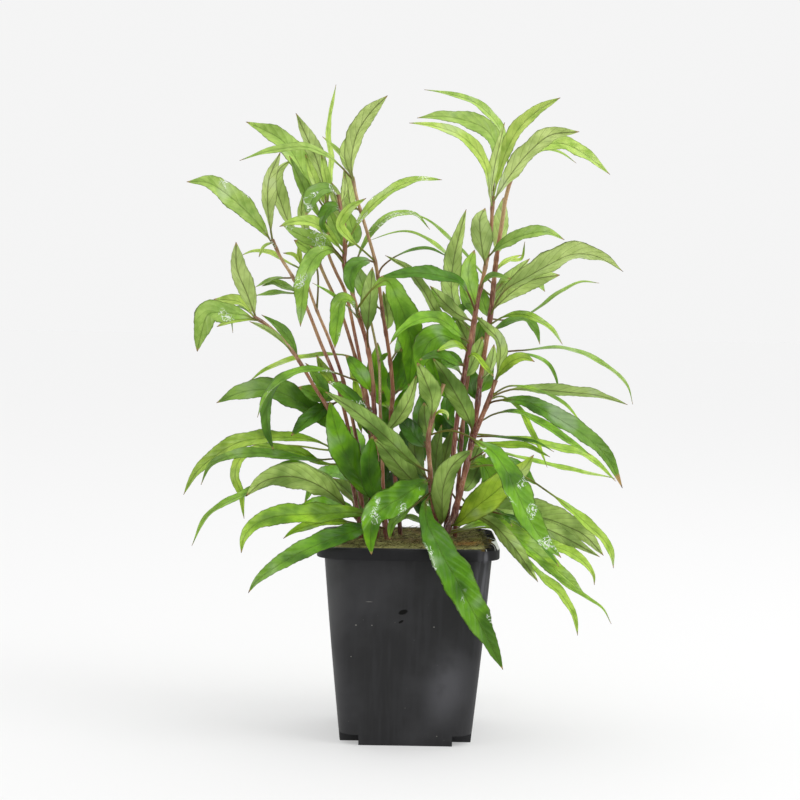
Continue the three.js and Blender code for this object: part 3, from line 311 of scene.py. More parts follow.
hazy = add(tree, "Math", (oval(tree, parts, 20, 30, 26, 46, -12, 0.1), patchy), operation="MULTIPLY")
streaky = add(tree, "MapRange", (streak, 0.35, 0.6, 0.1, 0.8), **SMOOTH)
# Painted highlights: a streaky lighter band down the pot's right corner and a small one on the rim's skirt
# at that corner, joined with a hazy lighter patch lower on the front.
corner_highlight_and_haze = add(tree, "Math", (oval(tree, parts, 36, 82, 9, 46, 0, 0.2), streaky), operation="MULTIPLY")
for mask in (oval(tree, parts, 37.5, 95, 3, 10, 0, 0.2), hazy):
    corner_highlight_and_haze = add(tree, "Math", (corner_highlight_and_haze, mask), operation="MAXIMUM")
speck = add(tree, "TexVoronoi", (place, 170.0))
speck = add(tree, "MapRange", (speck, 0.03, 0.07, 0.55, 0.0), **SMOOTH)
rare = add(tree, "MapRange", (add(tree, "TexNoise", (place, 60.0)), 0.5, 0.62), **SMOOTH)
dust = add(tree, "Math", (speck, rare), operation="MULTIPLY")
dust = add(tree, "Math", (dust, 0.4), operation="MULTIPLY")
marks = [(soft_smudge, "#464648"), (mould_streak, "#3b3b3d"), (lit_side, "#545455"), (rim_shade, "#1b1b1d"),
         (corner_highlight_and_haze, "#66666a"), (dust, "#8d8b86")]
DUST_GRAINS = ((-25, 60.7, 1.1, 0.9), (-17.2, 60.7, 0.8, 0.7), (13.1, 60.3, 0.9, 0.8),
               (-27.2, 44.9, 0.7, 0.7), (-18.7, 72.4, 4.2, 0.35), (15.5, 5.2, 0.8, 0.6))
for x, z, wide, high in DUST_GRAINS:
    spot = oval(tree, parts, x, z, wide, high, 0, 0.3)
    marks.append((add(tree, "Math", (spot, 0.7), operation="MULTIPLY"), "#96948e"))
dents = (oval(tree, parts, -2.1, 67.5, 5.0, 2.6, 18), oval(tree, parts, -3.0, 62.7, 2.9, 1.3, 32))
dent = add(tree, "Math", dents, operation="MAXIMUM")
# Water stands on the right of the rim's top; it is painted matt black there, as a painted reflection of the
# dark leaves above.
wet_rim_dark_reflection = add(tree, "MapRange", (parts["X"], 0.0345, 0.036), **SMOOTH)
on_top = add(tree, "MapRange", (parts["Z"], 0.0982, 0.099), **SMOOTH)
wet_rim_dark_reflection = add(tree, "Math", (wet_rim_dark_reflection, on_top), operation="MULTIPLY")
drawn_out = add(tree, "Mapping", {"Vector": place, "Scale": (130.0, 25.0, 60.0)})
ripple = add(tree, "TexNoise", {"Vector": drawn_out, "Scale": 1.0, "Detail": 0.5, "Distortion": 0.8})
# Painted reflection: a brown patch in the water on the rim, where it mirrors the block.
block_reflection = add(tree, "MapRange", (ripple, 0.58, 0.64), **SMOOTH)
block_reflection = add(tree, "Math", (wet_rim_dark_reflection, block_reflection), operation="MULTIPLY")
# Painted glints: thin white squiggles in the water and a white line along the rim's outer edge.
rise = add(tree, "MapRange", (ripple, 0.48, 0.49), **SMOOTH)
fall = add(tree, "MapRange", (ripple, 0.51, 0.52, 1.0, 0.0), **SMOOTH)
rim_glint = add(tree, "Math", (rise, fall), operation="MULTIPLY")
outer_edge_glint = add(tree, "Math", (ripple, 0.008, parts["X"]), operation="MULTIPLY_ADD")
outer_edge_glint = add(tree, "MapRange", (outer_edge_glint, 0.0478, 0.0482), **SMOOTH)
rim_glint = add(tree, "Math", (rim_glint, outer_edge_glint), operation="MAXIMUM")
for limit in (wet_rim_dark_reflection, 0.9):
    rim_glint = add(tree, "Math", (rim_glint, limit), operation="MULTIPLY")
marks += [(dent, "#080806"), (wet_rim_dark_reflection, "#030303"), (block_reflection, "#5a4a20"), (rim_glint, "#e6e8e6")]
colour = "#313132"
for mask, code in marks:
    colour = add(tree, "Mix", (mask, colour, code), data_type="RGBA")
rough = add(tree, "Math", (streak, 0.22, 0.36), operation="MULTIPLY_ADD")
rough = add(tree, "Math", (rough, wet_rim_dark_reflection), operation="MAXIMUM")
relief = add(tree, "Math", (streak, 0.5), operation="MULTIPLY")
relief = add(tree, "Math", (grain, 0.12, relief), operation="MULTIPLY_ADD")
sunk = add(tree, "Math", (dent, 1.5), operation="MULTIPLY")
relief = add(tree, "Math", (relief, sunk), operation="SUBTRACT")
surface(tree, colour, rough, 0.1, relief, 0.5, 0.0003)

pot = skin("nursery_pot", [rounded_square(*row) for row in profile], [plastic])
inside = skin("inside", [rounded_square(*row) for row in hollow], [])
corners = [(1, 1), (-1, 1), (-1, -1), (1, -1)]
cut_out(inside, [brick("raised_corner", sx, sy, near_edge - WALL, far_edge, 0, NOTCH_HEIGHT + WALL)
                 for sx, sy in corners])
cuts = [inside]
for sx, sy in corners:
    cuts.append(brick("notch", sx, sy, near_edge, far_edge, -CUT_PAST, NOTCH_HEIGHT))
    spot = BODY_FOOT_SIDE / 2 - DRAIN_INSET
    circle = [(sx * spot + DRAIN_RADIUS * math.cos(a), sy * spot + DRAIN_RADIUS * math.sin(a))
              for a in np.linspace(0, 2 * math.pi, 24, endpoint=False)]
    cuts.append(skin("drain", [np.array([(x, y, z) for x, y in circle]) * MM
                               for z in (NOTCH_HEIGHT - 3, NOTCH_HEIGHT + 3)], []))
cut_out(pot, cuts)
pot.data.shade_smooth()
pot.data.set_sharp_from_angle(angle=math.radians(40))
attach(pot, "root")
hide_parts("pot")

# Growing block: mineral fibre that the cuttings were rooted in, cut square and pushed into the pot. Its
# top is rough and matted, stained yellow-green by algae and brown by old roots, and stands just proud.
# Single fibres are too fine to show, so the mat is drawn in strands 3 mm apart with finer ones between.
BLOCK_TOP = 100
BLOCK_TOP_SIDE = 76
BLOCK_FOOT_SIDE = 59
BLOCK_CORNER = 7
BLOCK_BEVEL = 1.5
BLOCK_FOOT = NOTCH_HEIGHT + WALL + 0.3
TOP_RELIEF = 1.3
TOP_DEPTH = 0.9
SIDES_SEEN_FROM = 85
fibre, tree = start_material("matted_mineral_fibre")
place = add(tree, "TexCoord").outputs["Object"]
combed = add(tree, "Mapping", {"Vector": place, "Scale": (35.0, 300.0, 330.0)})
matted = add(tree, "TexNoise", {
    "Vector": combed, "Scale": 1.0, "Detail": 8.0, "Roughness": 0.62, "Distortion": 1.4})
stain = add(tree, "TexNoise", (place, 48.0, 3.0))
rooty = add(tree, "MapRange", (stain, 0.45, 0.7, 0.0, 0.75), **SMOOTH)
mossy = add(tree, "MapRange", (add(tree, "TexNoise", (place, 75.0)), 0.5, 0.72, 0.0, 0.6), **SMOOTH)
parts = add(tree, "SeparateXYZ", (place,)).outputs
# The top is lighter towards its front edge, where the fibre lies thick.
lighter_front = add(tree, "MapRange", (parts["Y"], -0.036, -0.026, 0.95, 0.0), **SMOOTH)
thick = add(tree, "MapRange", (matted, 0.25, 0.5), **SMOOTH)
lighter_front = add(tree, "Math", (lighter_front, thick), operation="MULTIPLY")
rusty = add(tree, "VectorMath", (place, (0.031, -0.014, 0.094)), operation="DISTANCE")
rusty = add(tree, "Math", (stain, 0.012, rusty), operation="MULTIPLY_ADD")
rusty = add(tree, "MapRange", (rusty, 0.012, 0.02, 0.75, 0.0), **SMOOTH)
colour = add(tree, "ValToRGB", (matted,), ((0.34, "#3a3416"), (0.5, "#7d783c"), (0.68, "#bcb474")))
for mask, code in ((rooty, "#6b4a22"), (mossy, "#7d8a3c"), (lighter_front, "#a9a468"), (rusty, "#96641f")):
    colour = add(tree, "Mix", (mask, colour, code), data_type="RGBA")
surface(tree, colour, 0.85, 0.25, matted, 0.7, 0.0012)

slope = (BLOCK_TOP_SIDE - BLOCK_FOOT_SIDE) / (BLOCK_TOP - BLOCK_BEVEL - BLOCK_FOOT)
rows = [(BLOCK_FOOT_SIDE + slope * (z - BLOCK_FOOT), BLOCK_CORNER, z)
        for z in np.linspace(BLOCK_FOOT, BLOCK_TOP - BLOCK_BEVEL, 18)]
rows += [(BLOCK_TOP_SIDE - 2 * BLOCK_BEVEL * s, BLOCK_CORNER, BLOCK_TOP - BLOCK_BEVEL * (1 - s))
         for s in (0.5, 1)]
top_side = BLOCK_TOP_SIDE - 2 * BLOCK_BEVEL
rows += [(top_side * s, BLOCK_CORNER * s, BLOCK_TOP) for s in np.linspace(0.97, 0.02, 44)]
block = skin("mineral_fibre_block", [rounded_square(*row, arc=9, flat=18) for row in rows], [fibre])
for vertex in block.data.vertices:
    here = vertex.co
    tufts = noise.fractal(Vector((here.x * 120, here.y * 330, here.z * 330)), 1.0, 2.1, 4)
    drop = TOP_RELIEF * MM * (tufts * 0.5 + noise.noise(here * 60) * 0.8 - 0.85)
    if here.z > (BLOCK_TOP - TOP_DEPTH) * MM:
        here.z += drop
    elif here.z > SIDES_SEEN_FROM * MM:
        here.x *= 1 + drop * 8
        here.y *= 1 + drop * 8
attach(block, "root")
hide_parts("growing_block")

# Loose fibres: short ends of mineral fibre and thin dead roots that lie on the block and stand out of it.
# They are scattered over its top by rule, with a fixed seed, and are drawn 0.2 mm thick, coarser than the
# real ones, so that they show.
FIBRE_RADIUS = 0.1
FIBRE_TAPER = 0.16
FIBRE_BENDS = ((0, 0, 0), (0.9, 0.15, 0.3), (1.9, -0.1, 0.38), (3.0, 0.2, 0.2), (4.2, 0, -0.15))
rings = []
for i, centre in enumerate(np.array(FIBRE_BENDS)):
    radius = FIBRE_RADIUS * (1 - FIBRE_TAPER * i)
    rings.append(np.array([centre + (0, radius * math.cos(a), radius * math.sin(a))
                           for a in (0.5, 2.6, 4.7)]) * MM)
one_fibre = skin("one_fibre", rings, [])
pale_fibre, tree = start_material("loose_mineral_fibre")
place = add(tree, "TexCoord").outputs["Object"]
mottle = add(tree, "TexNoise", (place, 300.0))
shade = add(tree, "ValToRGB", (mottle,), ((0.38, "#4a3a18"), (0.62, "#a9a862")))
shader = add(tree, "BsdfPrincipled", {"Base Color": shade, "Roughness": 0.75})
add(tree, "OutputMaterial", {"Surface": shader})


def start_rule(name, settings):
    """A new geometry rule that takes a shape and named settings, and the sockets they come from."""
    group = bpy.data.node_groups.new(name, "GeometryNodeTree")
    for label, kind in {"Geometry": "Geometry", **settings}.items():
        group.interface.new_socket(label, in_out="INPUT", socket_type="NodeSocket" + kind)
    group.interface.new_socket("Geometry", in_out="OUTPUT", socket_type="NodeSocketGeometry")
    return group, add(group, "NodeGroupInput").outputs


def end_rule(group, shape, finish):
    """Ends a geometry rule: what it made becomes real mesh with one material."""
    real = add(group, "GeometryNodeRealizeInstances", {"Geometry": shape})
    finished = add(group, "GeometryNodeSetMaterial", {"Geometry": real, "Material": finish})
    add(group, "NodeGroupOutput", {"Geometry": finished})


scatter, given = start_rule("scatter_on_top", {
    "Per Square Metre": "Float", "Least Height": "Float", "Smallest": "Float", "Largest": "Float",
    "Item": "Object", "Finish": "Material", "Seed": "Int"})
where = add(scatter, "GeometryNodeInputPosition")
height = add(scatter, "SeparateXYZ", (where,)).outputs["Z"]
high_enough = add(scatter, "FunctionNodeCompare", {"A": height, "B": given["Least Height"]},
                  data_type="FLOAT", operation="GREATER_THAN")
spots = add(scatter, "GeometryNodeDistributePointsOnFaces", {
    "Mesh": given["Geometry"], "Selection": high_enough, "Density": given["Per Square Metre"],
    "Seed": given["Seed"]})
item = add(scatter, "GeometryNodeObjectInfo", {"Object": given["Item"]}).outputs["Geometry"]
spin = add(scatter, "FunctionNodeRandomValue", {
    "Min": (-0.4, -0.45, -0.9), "Max": (0.4, 0.1, 0.9), "Seed": given["Seed"]}, data_type="FLOAT_VECTOR")
size_of_one = add(scatter, "FunctionNodeRandomValue", {
    2: given["Smallest"], 3: given["Largest"], "Seed": given["Seed"]}, data_type="FLOAT")
laid = add(scatter, "GeometryNodeInstanceOnPoints", {
    "Points": spots, "Instance": item, "Rotation": spin, "Scale": size_of_one})
end_rule(scatter, laid, given["Finish"])


def grow(name, source, group, settings):
    """A plain mesh object made by a Geometry Nodes group from another object's shape."""
    maker = put(name + "_maker", source.data)
    modifier = maker.modifiers.new("rule", "NODES")
    modifier.node_group = group
    for socket in group.interface.items_tree:
        if socket.in_out == "INPUT" and socket.name in settings:
            modifier[socket.identifier] = settings[socket.name]
    graph = bpy.context.evaluated_depsgraph_get()
    mesh = bpy.data.meshes.new_from_object(maker.evaluated_get(graph))
    mesh.name = name
    bpy.data.objects.remove(maker)
    return put(name, mesh)


loose = grow("loose_fibres", block, scatter, {
    "Per Square Metre": 300000.0, "Least Height": (BLOCK_TOP - 3.2) * MM, "Smallest": 0.4, "Largest": 1.5,
    "Item": one_fibre, "Finish": pale_fibre, "Seed": 4})
loose.data.shade_smooth()
bpy.data.objects.remove(one_fibre)
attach(loose, "root")

# Shoots: rooted cuttings, each a thin jointed stem, red-brown at the foot and paler at the tip, with its
# leaves. A place on one is (x, z, d) in millimetres: where the eye sees it on the upright plane through the
# pot's axis, and how far in front of that plane it stands.

# A stem is its foot's x and y on the block, its radius at the foot and at the tip, and the places along it
# and along each branch. A leaf is its places, its width, its turn at the base and at the tip, its youth and
# its stalk's share of it. A turn of 90 shows the upper face, 0 the edge and -90 the underside.
STEMS = {
    "left_1": ((-24, -2), 1.1, 0.8, [(-30, 131, 2), (-39.8, 160.5, 3), (-48.6, 174.7, 4), (-54.8, 185, 5),
        (-59.6, 192, 5.5), (-66.5, 200, 6), (-73.3, 206, 7), (-80, 210, 8)]),
    "left_2": ((-22, 8), 1.1, 0.8, [(-28, 139, -7), (-37.7, 178, -7), (-46, 197.5, -7), (-53.6, 216, -8),
        (-60.6, 230.5, -8), (-66.5, 239.7, -8), (-71, 249, -8)]),
    "left_3": ((-17, 18), 1.1, 0.7, [(-23, 130, -16), (-33.5, 176, -15), (-41, 197.5, -15),
        (-48.2, 214, -16), (-52, 224, -17), (-56, 236, -18)]),
    "left_4": ((-12, 14), 1, 0.8, [(-17, 130, -12), (-25, 178, -6), (-32.3, 203, -4), (-37, 216, -3),
        (-43.8, 230, -3), (-47, 237, -3), (-51, 246, -5), (-56, 252, -7)]),
    "left_5": ((-8, 7), 1, 0.8, [(-15, 130, -6), (-22.5, 172, -1), (-28.5, 201, 0), (-33.7, 222.7, -2),
        (-39, 233.8, -5), (-42.3, 241.5, -8), (-44.3, 252, -10), (-44.5, 262, -11), (-43.5, 269, -11)]),
    "left_6": ((-16, -3), 1.4, 0.9, [(-16.5, 135, 4), (-18.2, 162, 5), (-19.8, 181.5, 6), (-22.2, 196, 6),
        (-26, 209, 5), (-30.7, 224, 3), (-34.5, 236, 1), (-34.3, 246, 0), (-35, 257, -1), (-37, 266, -2),
        (-38, 272, -2)]),
    "left_7": ((-4, 6), 1.2, 0.8, [(-7.7, 135, -6), (-9.7, 160.7, -7), (-9, 173, -8), (-11.6, 195, -8),
        (-14.4, 210.5, -8), (-18.8, 238, -8), (-23, 252.5, -8), (-28.5, 270, -9), (-31, 281, -10)]),
    "left_8": ((-11, -11), 1.1, 0.6, [(-13, 122, 10), (-14, 143.5, 9), (-15.3, 165, 8), (-15.7, 180, 4),
        (-16.3, 189, 1), (-18, 197, -1), (-20.5, 208, -3)]),
    "right_1": ((16.5, -9), 1.3, 1, [(13, 114, 11), (11.3, 124, 12), (10.5, 134, 13.5), (9.4, 150, 16),
        (10.6, 157.6, 17), (12.2, 163.5, 18), (16.7, 177.5, 20)]),
    "right_2": ((19, 4), 1.4, 0.9, [(21.3, 128, 1), (23, 152, 3), (26, 176, 5), (29, 195, 5), (33, 219, 4),
        (36.5, 236, 3), (38, 246, 3), (39.3, 258, 2), (39.6, 267, 2), (40, 272.5, 2)]),
    "right_3": ((24, 7), 1.1, 0.8, [(24.7, 120, -8), (26.3, 150, -9), (28.5, 178, -8), (30, 190, -7),
        (31.5, 205, -6), (32.5, 213, -6)]),
    "right_4": ((18.5, -7), 1.5, 1, [(23.5, 113, 5), (26.5, 125, 4), (28.5, 134, 2), (31.3, 147.6, 0),
        (33.7, 164, -3), (35.2, 180, -6), (38, 200.5, -8), (39.5, 211, -9), (41, 228, -10), (42, 240, -10),
        (45, 262, -8), (46, 270, -6), (49, 283, -2)], [(31.5, 149, 0), (36, 160.5, 4), (40, 170.5, 6),
        (43, 180, 6)]),
}
BIG_LEAVES = {
    "left_1": [
        ([(-78.5, 209.5, 8), (-83.5, 222, 12), (-88.5, 234, 15), (-89.3, 247.5, 14)], 11, -65, -60, 0.3,
          0.05),
        ([(-76, 207.8, 7.5), (-85, 210.5, 12), (-94, 211.5, 16), (-102.5, 211, 19), (-106, 202, 20),
          (-108.3, 191.8, 20)], 12, 55, 70, 0.3, 0.1),
        ([(-54.8, 185, 5), (-60, 183.2, 12), (-68, 176, 18), (-72.3, 165, 22), (-72, 153, 24),
          (-69, 142.5, 25)], 9, 40, 45, 0.05, 0.12),
        ([(-24.8, 108, 1), (-29.5, 112, 6), (-37.5, 119.5, 12), (-48, 126, 18), (-60, 129.3, 20),
          (-74, 126.5, 21), (-83, 118.5, 21)], 14, -70, -60, 0.95, 0.15),
    ],
    "left_2": [
        ([(-68.7, 244.5, -8), (-76.5, 254.5, 0), (-86, 264.5, 2.5), (-95, 272, 3), (-104, 277, 5),
          (-114.5, 277.2, 6)], 12, 60, 60, 0.3, 0.12),
        ([(-71, 249, -8), (-72.5, 258, -4), (-73.5, 268, 0), (-73, 279, 3), (-70, 287, 4), (-67.5, 293, 4)],
          8.5, -60, -55, 0.7, 0.1),
        ([(-30, 146.5, -7), (-38, 153, -7), (-46, 160, -6), (-57, 167.5, -4), (-70, 172.8, -1),
          (-85, 171.8, 2), (-98.3, 166, 4)], 14, 62, 60, 0.15, 0.1),
        ([(-28.2, 140, -7), (-38, 143.5, -10), (-48, 147.5, -13), (-60, 149, -15), (-75, 148.3, -17),
          (-87, 146, -18), (-98, 139.5, -19), (-108, 130.5, -19), (-114.5, 119, -19)], 10, 53, 50, 0.85,
          0.15),
    ],
    "left_4": [
        ([(-55.5, 251.5, -7), (-62, 257, -10), (-66.5, 267, -12), (-69.5, 277, -13), (-68, 284, -14),
          (-62, 289, -15)], 9, -60, -60, 1.2, 0.1),
    ],
    "left_5": [
        ([(-44, 264, -11), (-49, 271, -12), (-55, 281, -13), (-61, 292, -14), (-67, 299, -15),
          (-75, 303.5, -15), (-85, 307.7, -15)], 12, 62, 60, 0.5, 0.08),
        ([(-43.5, 266, -11), (-45.5, 277, -19), (-49, 289, -22), (-53.5, 299, -24), (-60, 312.5, -25)], 10,
          -62, -55, 0.3, 0.08),
    ],
    "left_6": [
        ([(-34.8, 237, 1), (-39.5, 243, 8), (-43.5, 244, 14), (-49.5, 240, 20), (-53.8, 231, 24),
          (-55.5, 218, 25), (-56.2, 205.3, 25)], 10.5, 62, 60, 0.5, 0.15),
        ([(-34.5, 239, 1), (-41, 245.5, 4), (-48, 248.7, 8), (-56, 251, 10), (-66, 256.5, 8)], 9, 60, 60,
          0.2, 0.2),
        ([(-27.3, 211.5, 5), (-31, 218.5, 14), (-35.5, 218.5, 19), (-37.5, 208, 22), (-38.7, 194.5, 22)], 10,
          50, 50, 0.5, 0.12),
        ([(-21.8, 193, 6), (-22.3, 203, 9), (-21.8, 213, 12), (-21, 225, 14), (-20.3, 236, 15)], 9.5, -75,
          -70, 0.1, 0.25),
        ([(-26.3, 210, 5), (-28, 213.5, 14), (-24.5, 219.5, 21), (-19.5, 225.5, 24), (-13, 229.2, 24),
          (-8, 221, 21), (-3, 209, 16), (0, 195, 11), (-1, 175.5, 6)], 14, 78, 75, 0.5, 0.28),
    ],
    "left_7": [
        ([(-30.5, 278, -10), (-32, 288, -6), (-29, 303, -1), (-22, 314, 3), (-14, 322, 6)], 10, -70, -65,
          0.9, 0.08),
        ([(-18.9, 238.5, -8), (-24, 239, 2), (-29.5, 235.5, 9), (-31.5, 229, 13), (-29, 221.5, 14)], 9, 60,
          60, 0, 0.15),
    ],
    "left_8": [
        ([(-12.6, 113.5, 10.5), (-18, 119.5, 11), (-24, 127, 11), (-31, 138, 10.5), (-37, 152, 10),
          (-41, 168, 9)], 15, 78, 78, 0.4, 0.08),
        ([(-12.6, 112.5, 10.5), (-16.5, 119, 16), (-20, 129, 19), (-20.5, 140, 19), (-19, 151, 18)], 11.5,
          72, 72, 0.1, 0.1),
        ([(-12, 106.5, 11), (-19, 110, 17), (-29, 111.5, 24), (-42, 110.5, 31), (-55, 109.8, 37),
          (-69, 108.3, 42), (-79, 103.5, 46), (-83.7, 97, 48), (-84.8, 89.7, 49)], 11.5, 65, 65, 0.7, 0.12),
        ([(-11.8, 103.5, 11), (-19, 105, 22), (-28, 101.8, 37), (-38, 97.8, 46.4), (-50, 92.8, 51.9),
          (-60, 87.5, 53.7), (-70, 81, 55.7), (-77, 75.3, 56.8), (-81, 69.3, 57)], 11.5, 60, 60, 0.15, 0.1),
    ],
    "right_1": [
        ([(11.8, 121, 11.9), (10.5, 120.3, 20), (8.5, 115.5, 29), (9.5, 107, 38), (14, 97.5, 45.5),
          (19, 88, 50.5), (25, 78, 52), (31, 67, 53), (36.5, 57, 54), (42.5, 46, 55), (49.5, 32, 55)], 16,
          75, 70, 0.1, 0.1),
        ([(10.9, 129, 12.8), (5.5, 126, 27), (-4, 119.5, 39), (-12, 114.5, 46), (-17.5, 109, 50),
          (-19, 99, 52), (-18.5, 89.8, 52)], 15, 75, 72, 0.5, 0.08),
        ([(9.5, 151.5, 16), (20, 154, 21), (28.5, 151.7, 25), (36, 147.3, 29), (42.5, 143, 33),
          (49, 134, 38), (54.5, 123.5, 43), (59.5, 113, 47), (67, 101, 50), (78, 90, 53)], 14, 65, 65, 0.4,
          0.25),
        ([(15.3, 104, 10), (17, 108, 14.5), (16.8, 116, 18), (17.3, 125, 20), (21, 135, 21), (27, 141, 21),
          (32, 144.2, 20)], 11.5, -75, -75, 0.75, 0.06),
        ([(10.6, 133, 13.5), (6.5, 134.5, 20), (-1, 140, 29), (-9, 147.5, 34), (-19, 156, 37),
          (-30, 164.5, 39), (-43.5, 172.7, 39)], 10, -60, -60, 0.1, 0.1),
        ([(11, 126.5, 12), (3.5, 127.5, 17), (-3, 133, 20), (-9, 140, 22), (-14.5, 146, 24),
          (-18.5, 149, 25)], 12, -72, -72, 0.3, 0.08),
        ([(10.8, 158.5, 17), (10.8, 170, 24), (7.5, 179, 28), (3, 188.3, 30)], 10.5, -75, -75, 0.6, 0.1),
    ],
    "right_2": [
        ([(39.9, 269.5, 2), (48, 283, 11), (58, 295.5, 15), (68, 303.5, 17), (82.6, 305.5, 17)], 10.5, -68,
          -65, 1.2, 0.06),
        ([(40, 272, 2), (43, 285, -1), (47, 297, 2), (53, 307.5, 6), (62, 316, 10), (72.7, 322.3, 12)], 9.5,
          50, 55, 1.3, 0.08),
        ([(39.8, 270.5, 2), (40.3, 284, -5), (41, 297, -11), (36, 305.5, -15), (26, 310, -18),
          (13, 312, -20), (0.9, 311, -21)], 10.5, 52, 55, 0.3, 0.1),
        ([(37.5, 241.5, 3), (42, 246, 10), (49, 250.5, 16), (57, 253.5, 21), (67, 255, 24),
          (76.3, 251.2, 26)], 8.5, 45, 50, 0.3, 0.1),
        ([(36.6, 237, 3), (35, 246, 9), (33.8, 254, 12), (33.5, 261, 11), (36, 266.5, 6)], 11.5, -70, -70,
          0.2, 0.08),
        ([(32, 214, 4), (28.5, 223, 12), (24, 229, 20), (14, 232, 26), (3, 233.3, 30), (-7, 232.3, 32),
          (-16.5, 231, 33)], 8.5, 50, 50, 0.05, 0.2),
        ([(29.5, 198, 5), (24, 203, 15), (18, 208, 24), (11, 211, 30), (3, 209.5, 34), (-6, 203.5, 37),
          (-11, 197, 38)], 8.5, 48, 50, 0.5, 0.1),
        ([(29, 195.5, 5), (22, 199.5, 10), (15, 202, 15), (9, 198.5, 18), (5, 190, 19), (4, 182, 19)], 13.5,
          72, 72, 0.3, 0.08),
    ],
    "right_3": [
        ([(31.2, 202, -6), (24, 212, -16), (19.8, 224, -22), (20.3, 238, -26), (23, 252, -28),
          (26.5, 265.8, -29)], 10, -70, -70, 0.8, 0.1),
    ],
    "right_4": [
        ([(49, 282.5, -2), (56, 291, -8), (66, 298.5, -12), (75, 299.3, -15), (86, 294, -17),
          (98.5, 284.3, -18)], 8.5, 52, 55, 0.8, 0.1),
        ([(39.6, 212, -9), (43, 220, -3), (48, 226.5, 4), (58, 232.5, 10), (70, 239.5, 14), (80, 244, 16),
          (92, 243.5, 17), (106.3, 235.7, 16)], 15, -80, -15, 0.6, 0.2),
        ([(38.6, 167, 5.5), (42, 169, 9), (50, 170, 16), (60, 168.7, 22), (73, 162, 30), (88, 152.8, 34),
          (100, 142, 36), (108.4, 126, 36)], 10.5, 58, 60, 0.12, 0.1),
        ([(31.8, 151, 0), (30.5, 158, 7), (27, 165.5, 13), (22, 174, 18), (16.5, 183, 21), (11, 190.5, 23)],
          11, -72, -72, 0.2, 0.1),
        ([(20.3, 105, 6.5), (26, 107.5, 12), (34, 115, 18), (42, 121.5, 22), (50, 128.5, 25), (58, 135, 27),
          (63, 142.3, 28)], 15, 75, 75, 1, 0.06),
        ([(19.8, 102.5, 7), (29, 104.5, -6), (38, 107.2, -12), (46, 104.8, -16), (56, 99.7, -18),
          (66, 92, -19), (75, 84.5, -20), (83, 78, -20), (91, 70.5, -20)], 11.5, 55, 60, 0.6, 0.12),
        ([(25.5, 121, 4), (33, 114.5, -12), (44, 112.3, -24), (56, 112.5, -31), (68, 110.5, -36),
          (80, 106.5, -40), (90, 101.5, -42), (99.5, 91.5, -43)], 17, -68, -65, 0.9, 0.15),
    ],
}
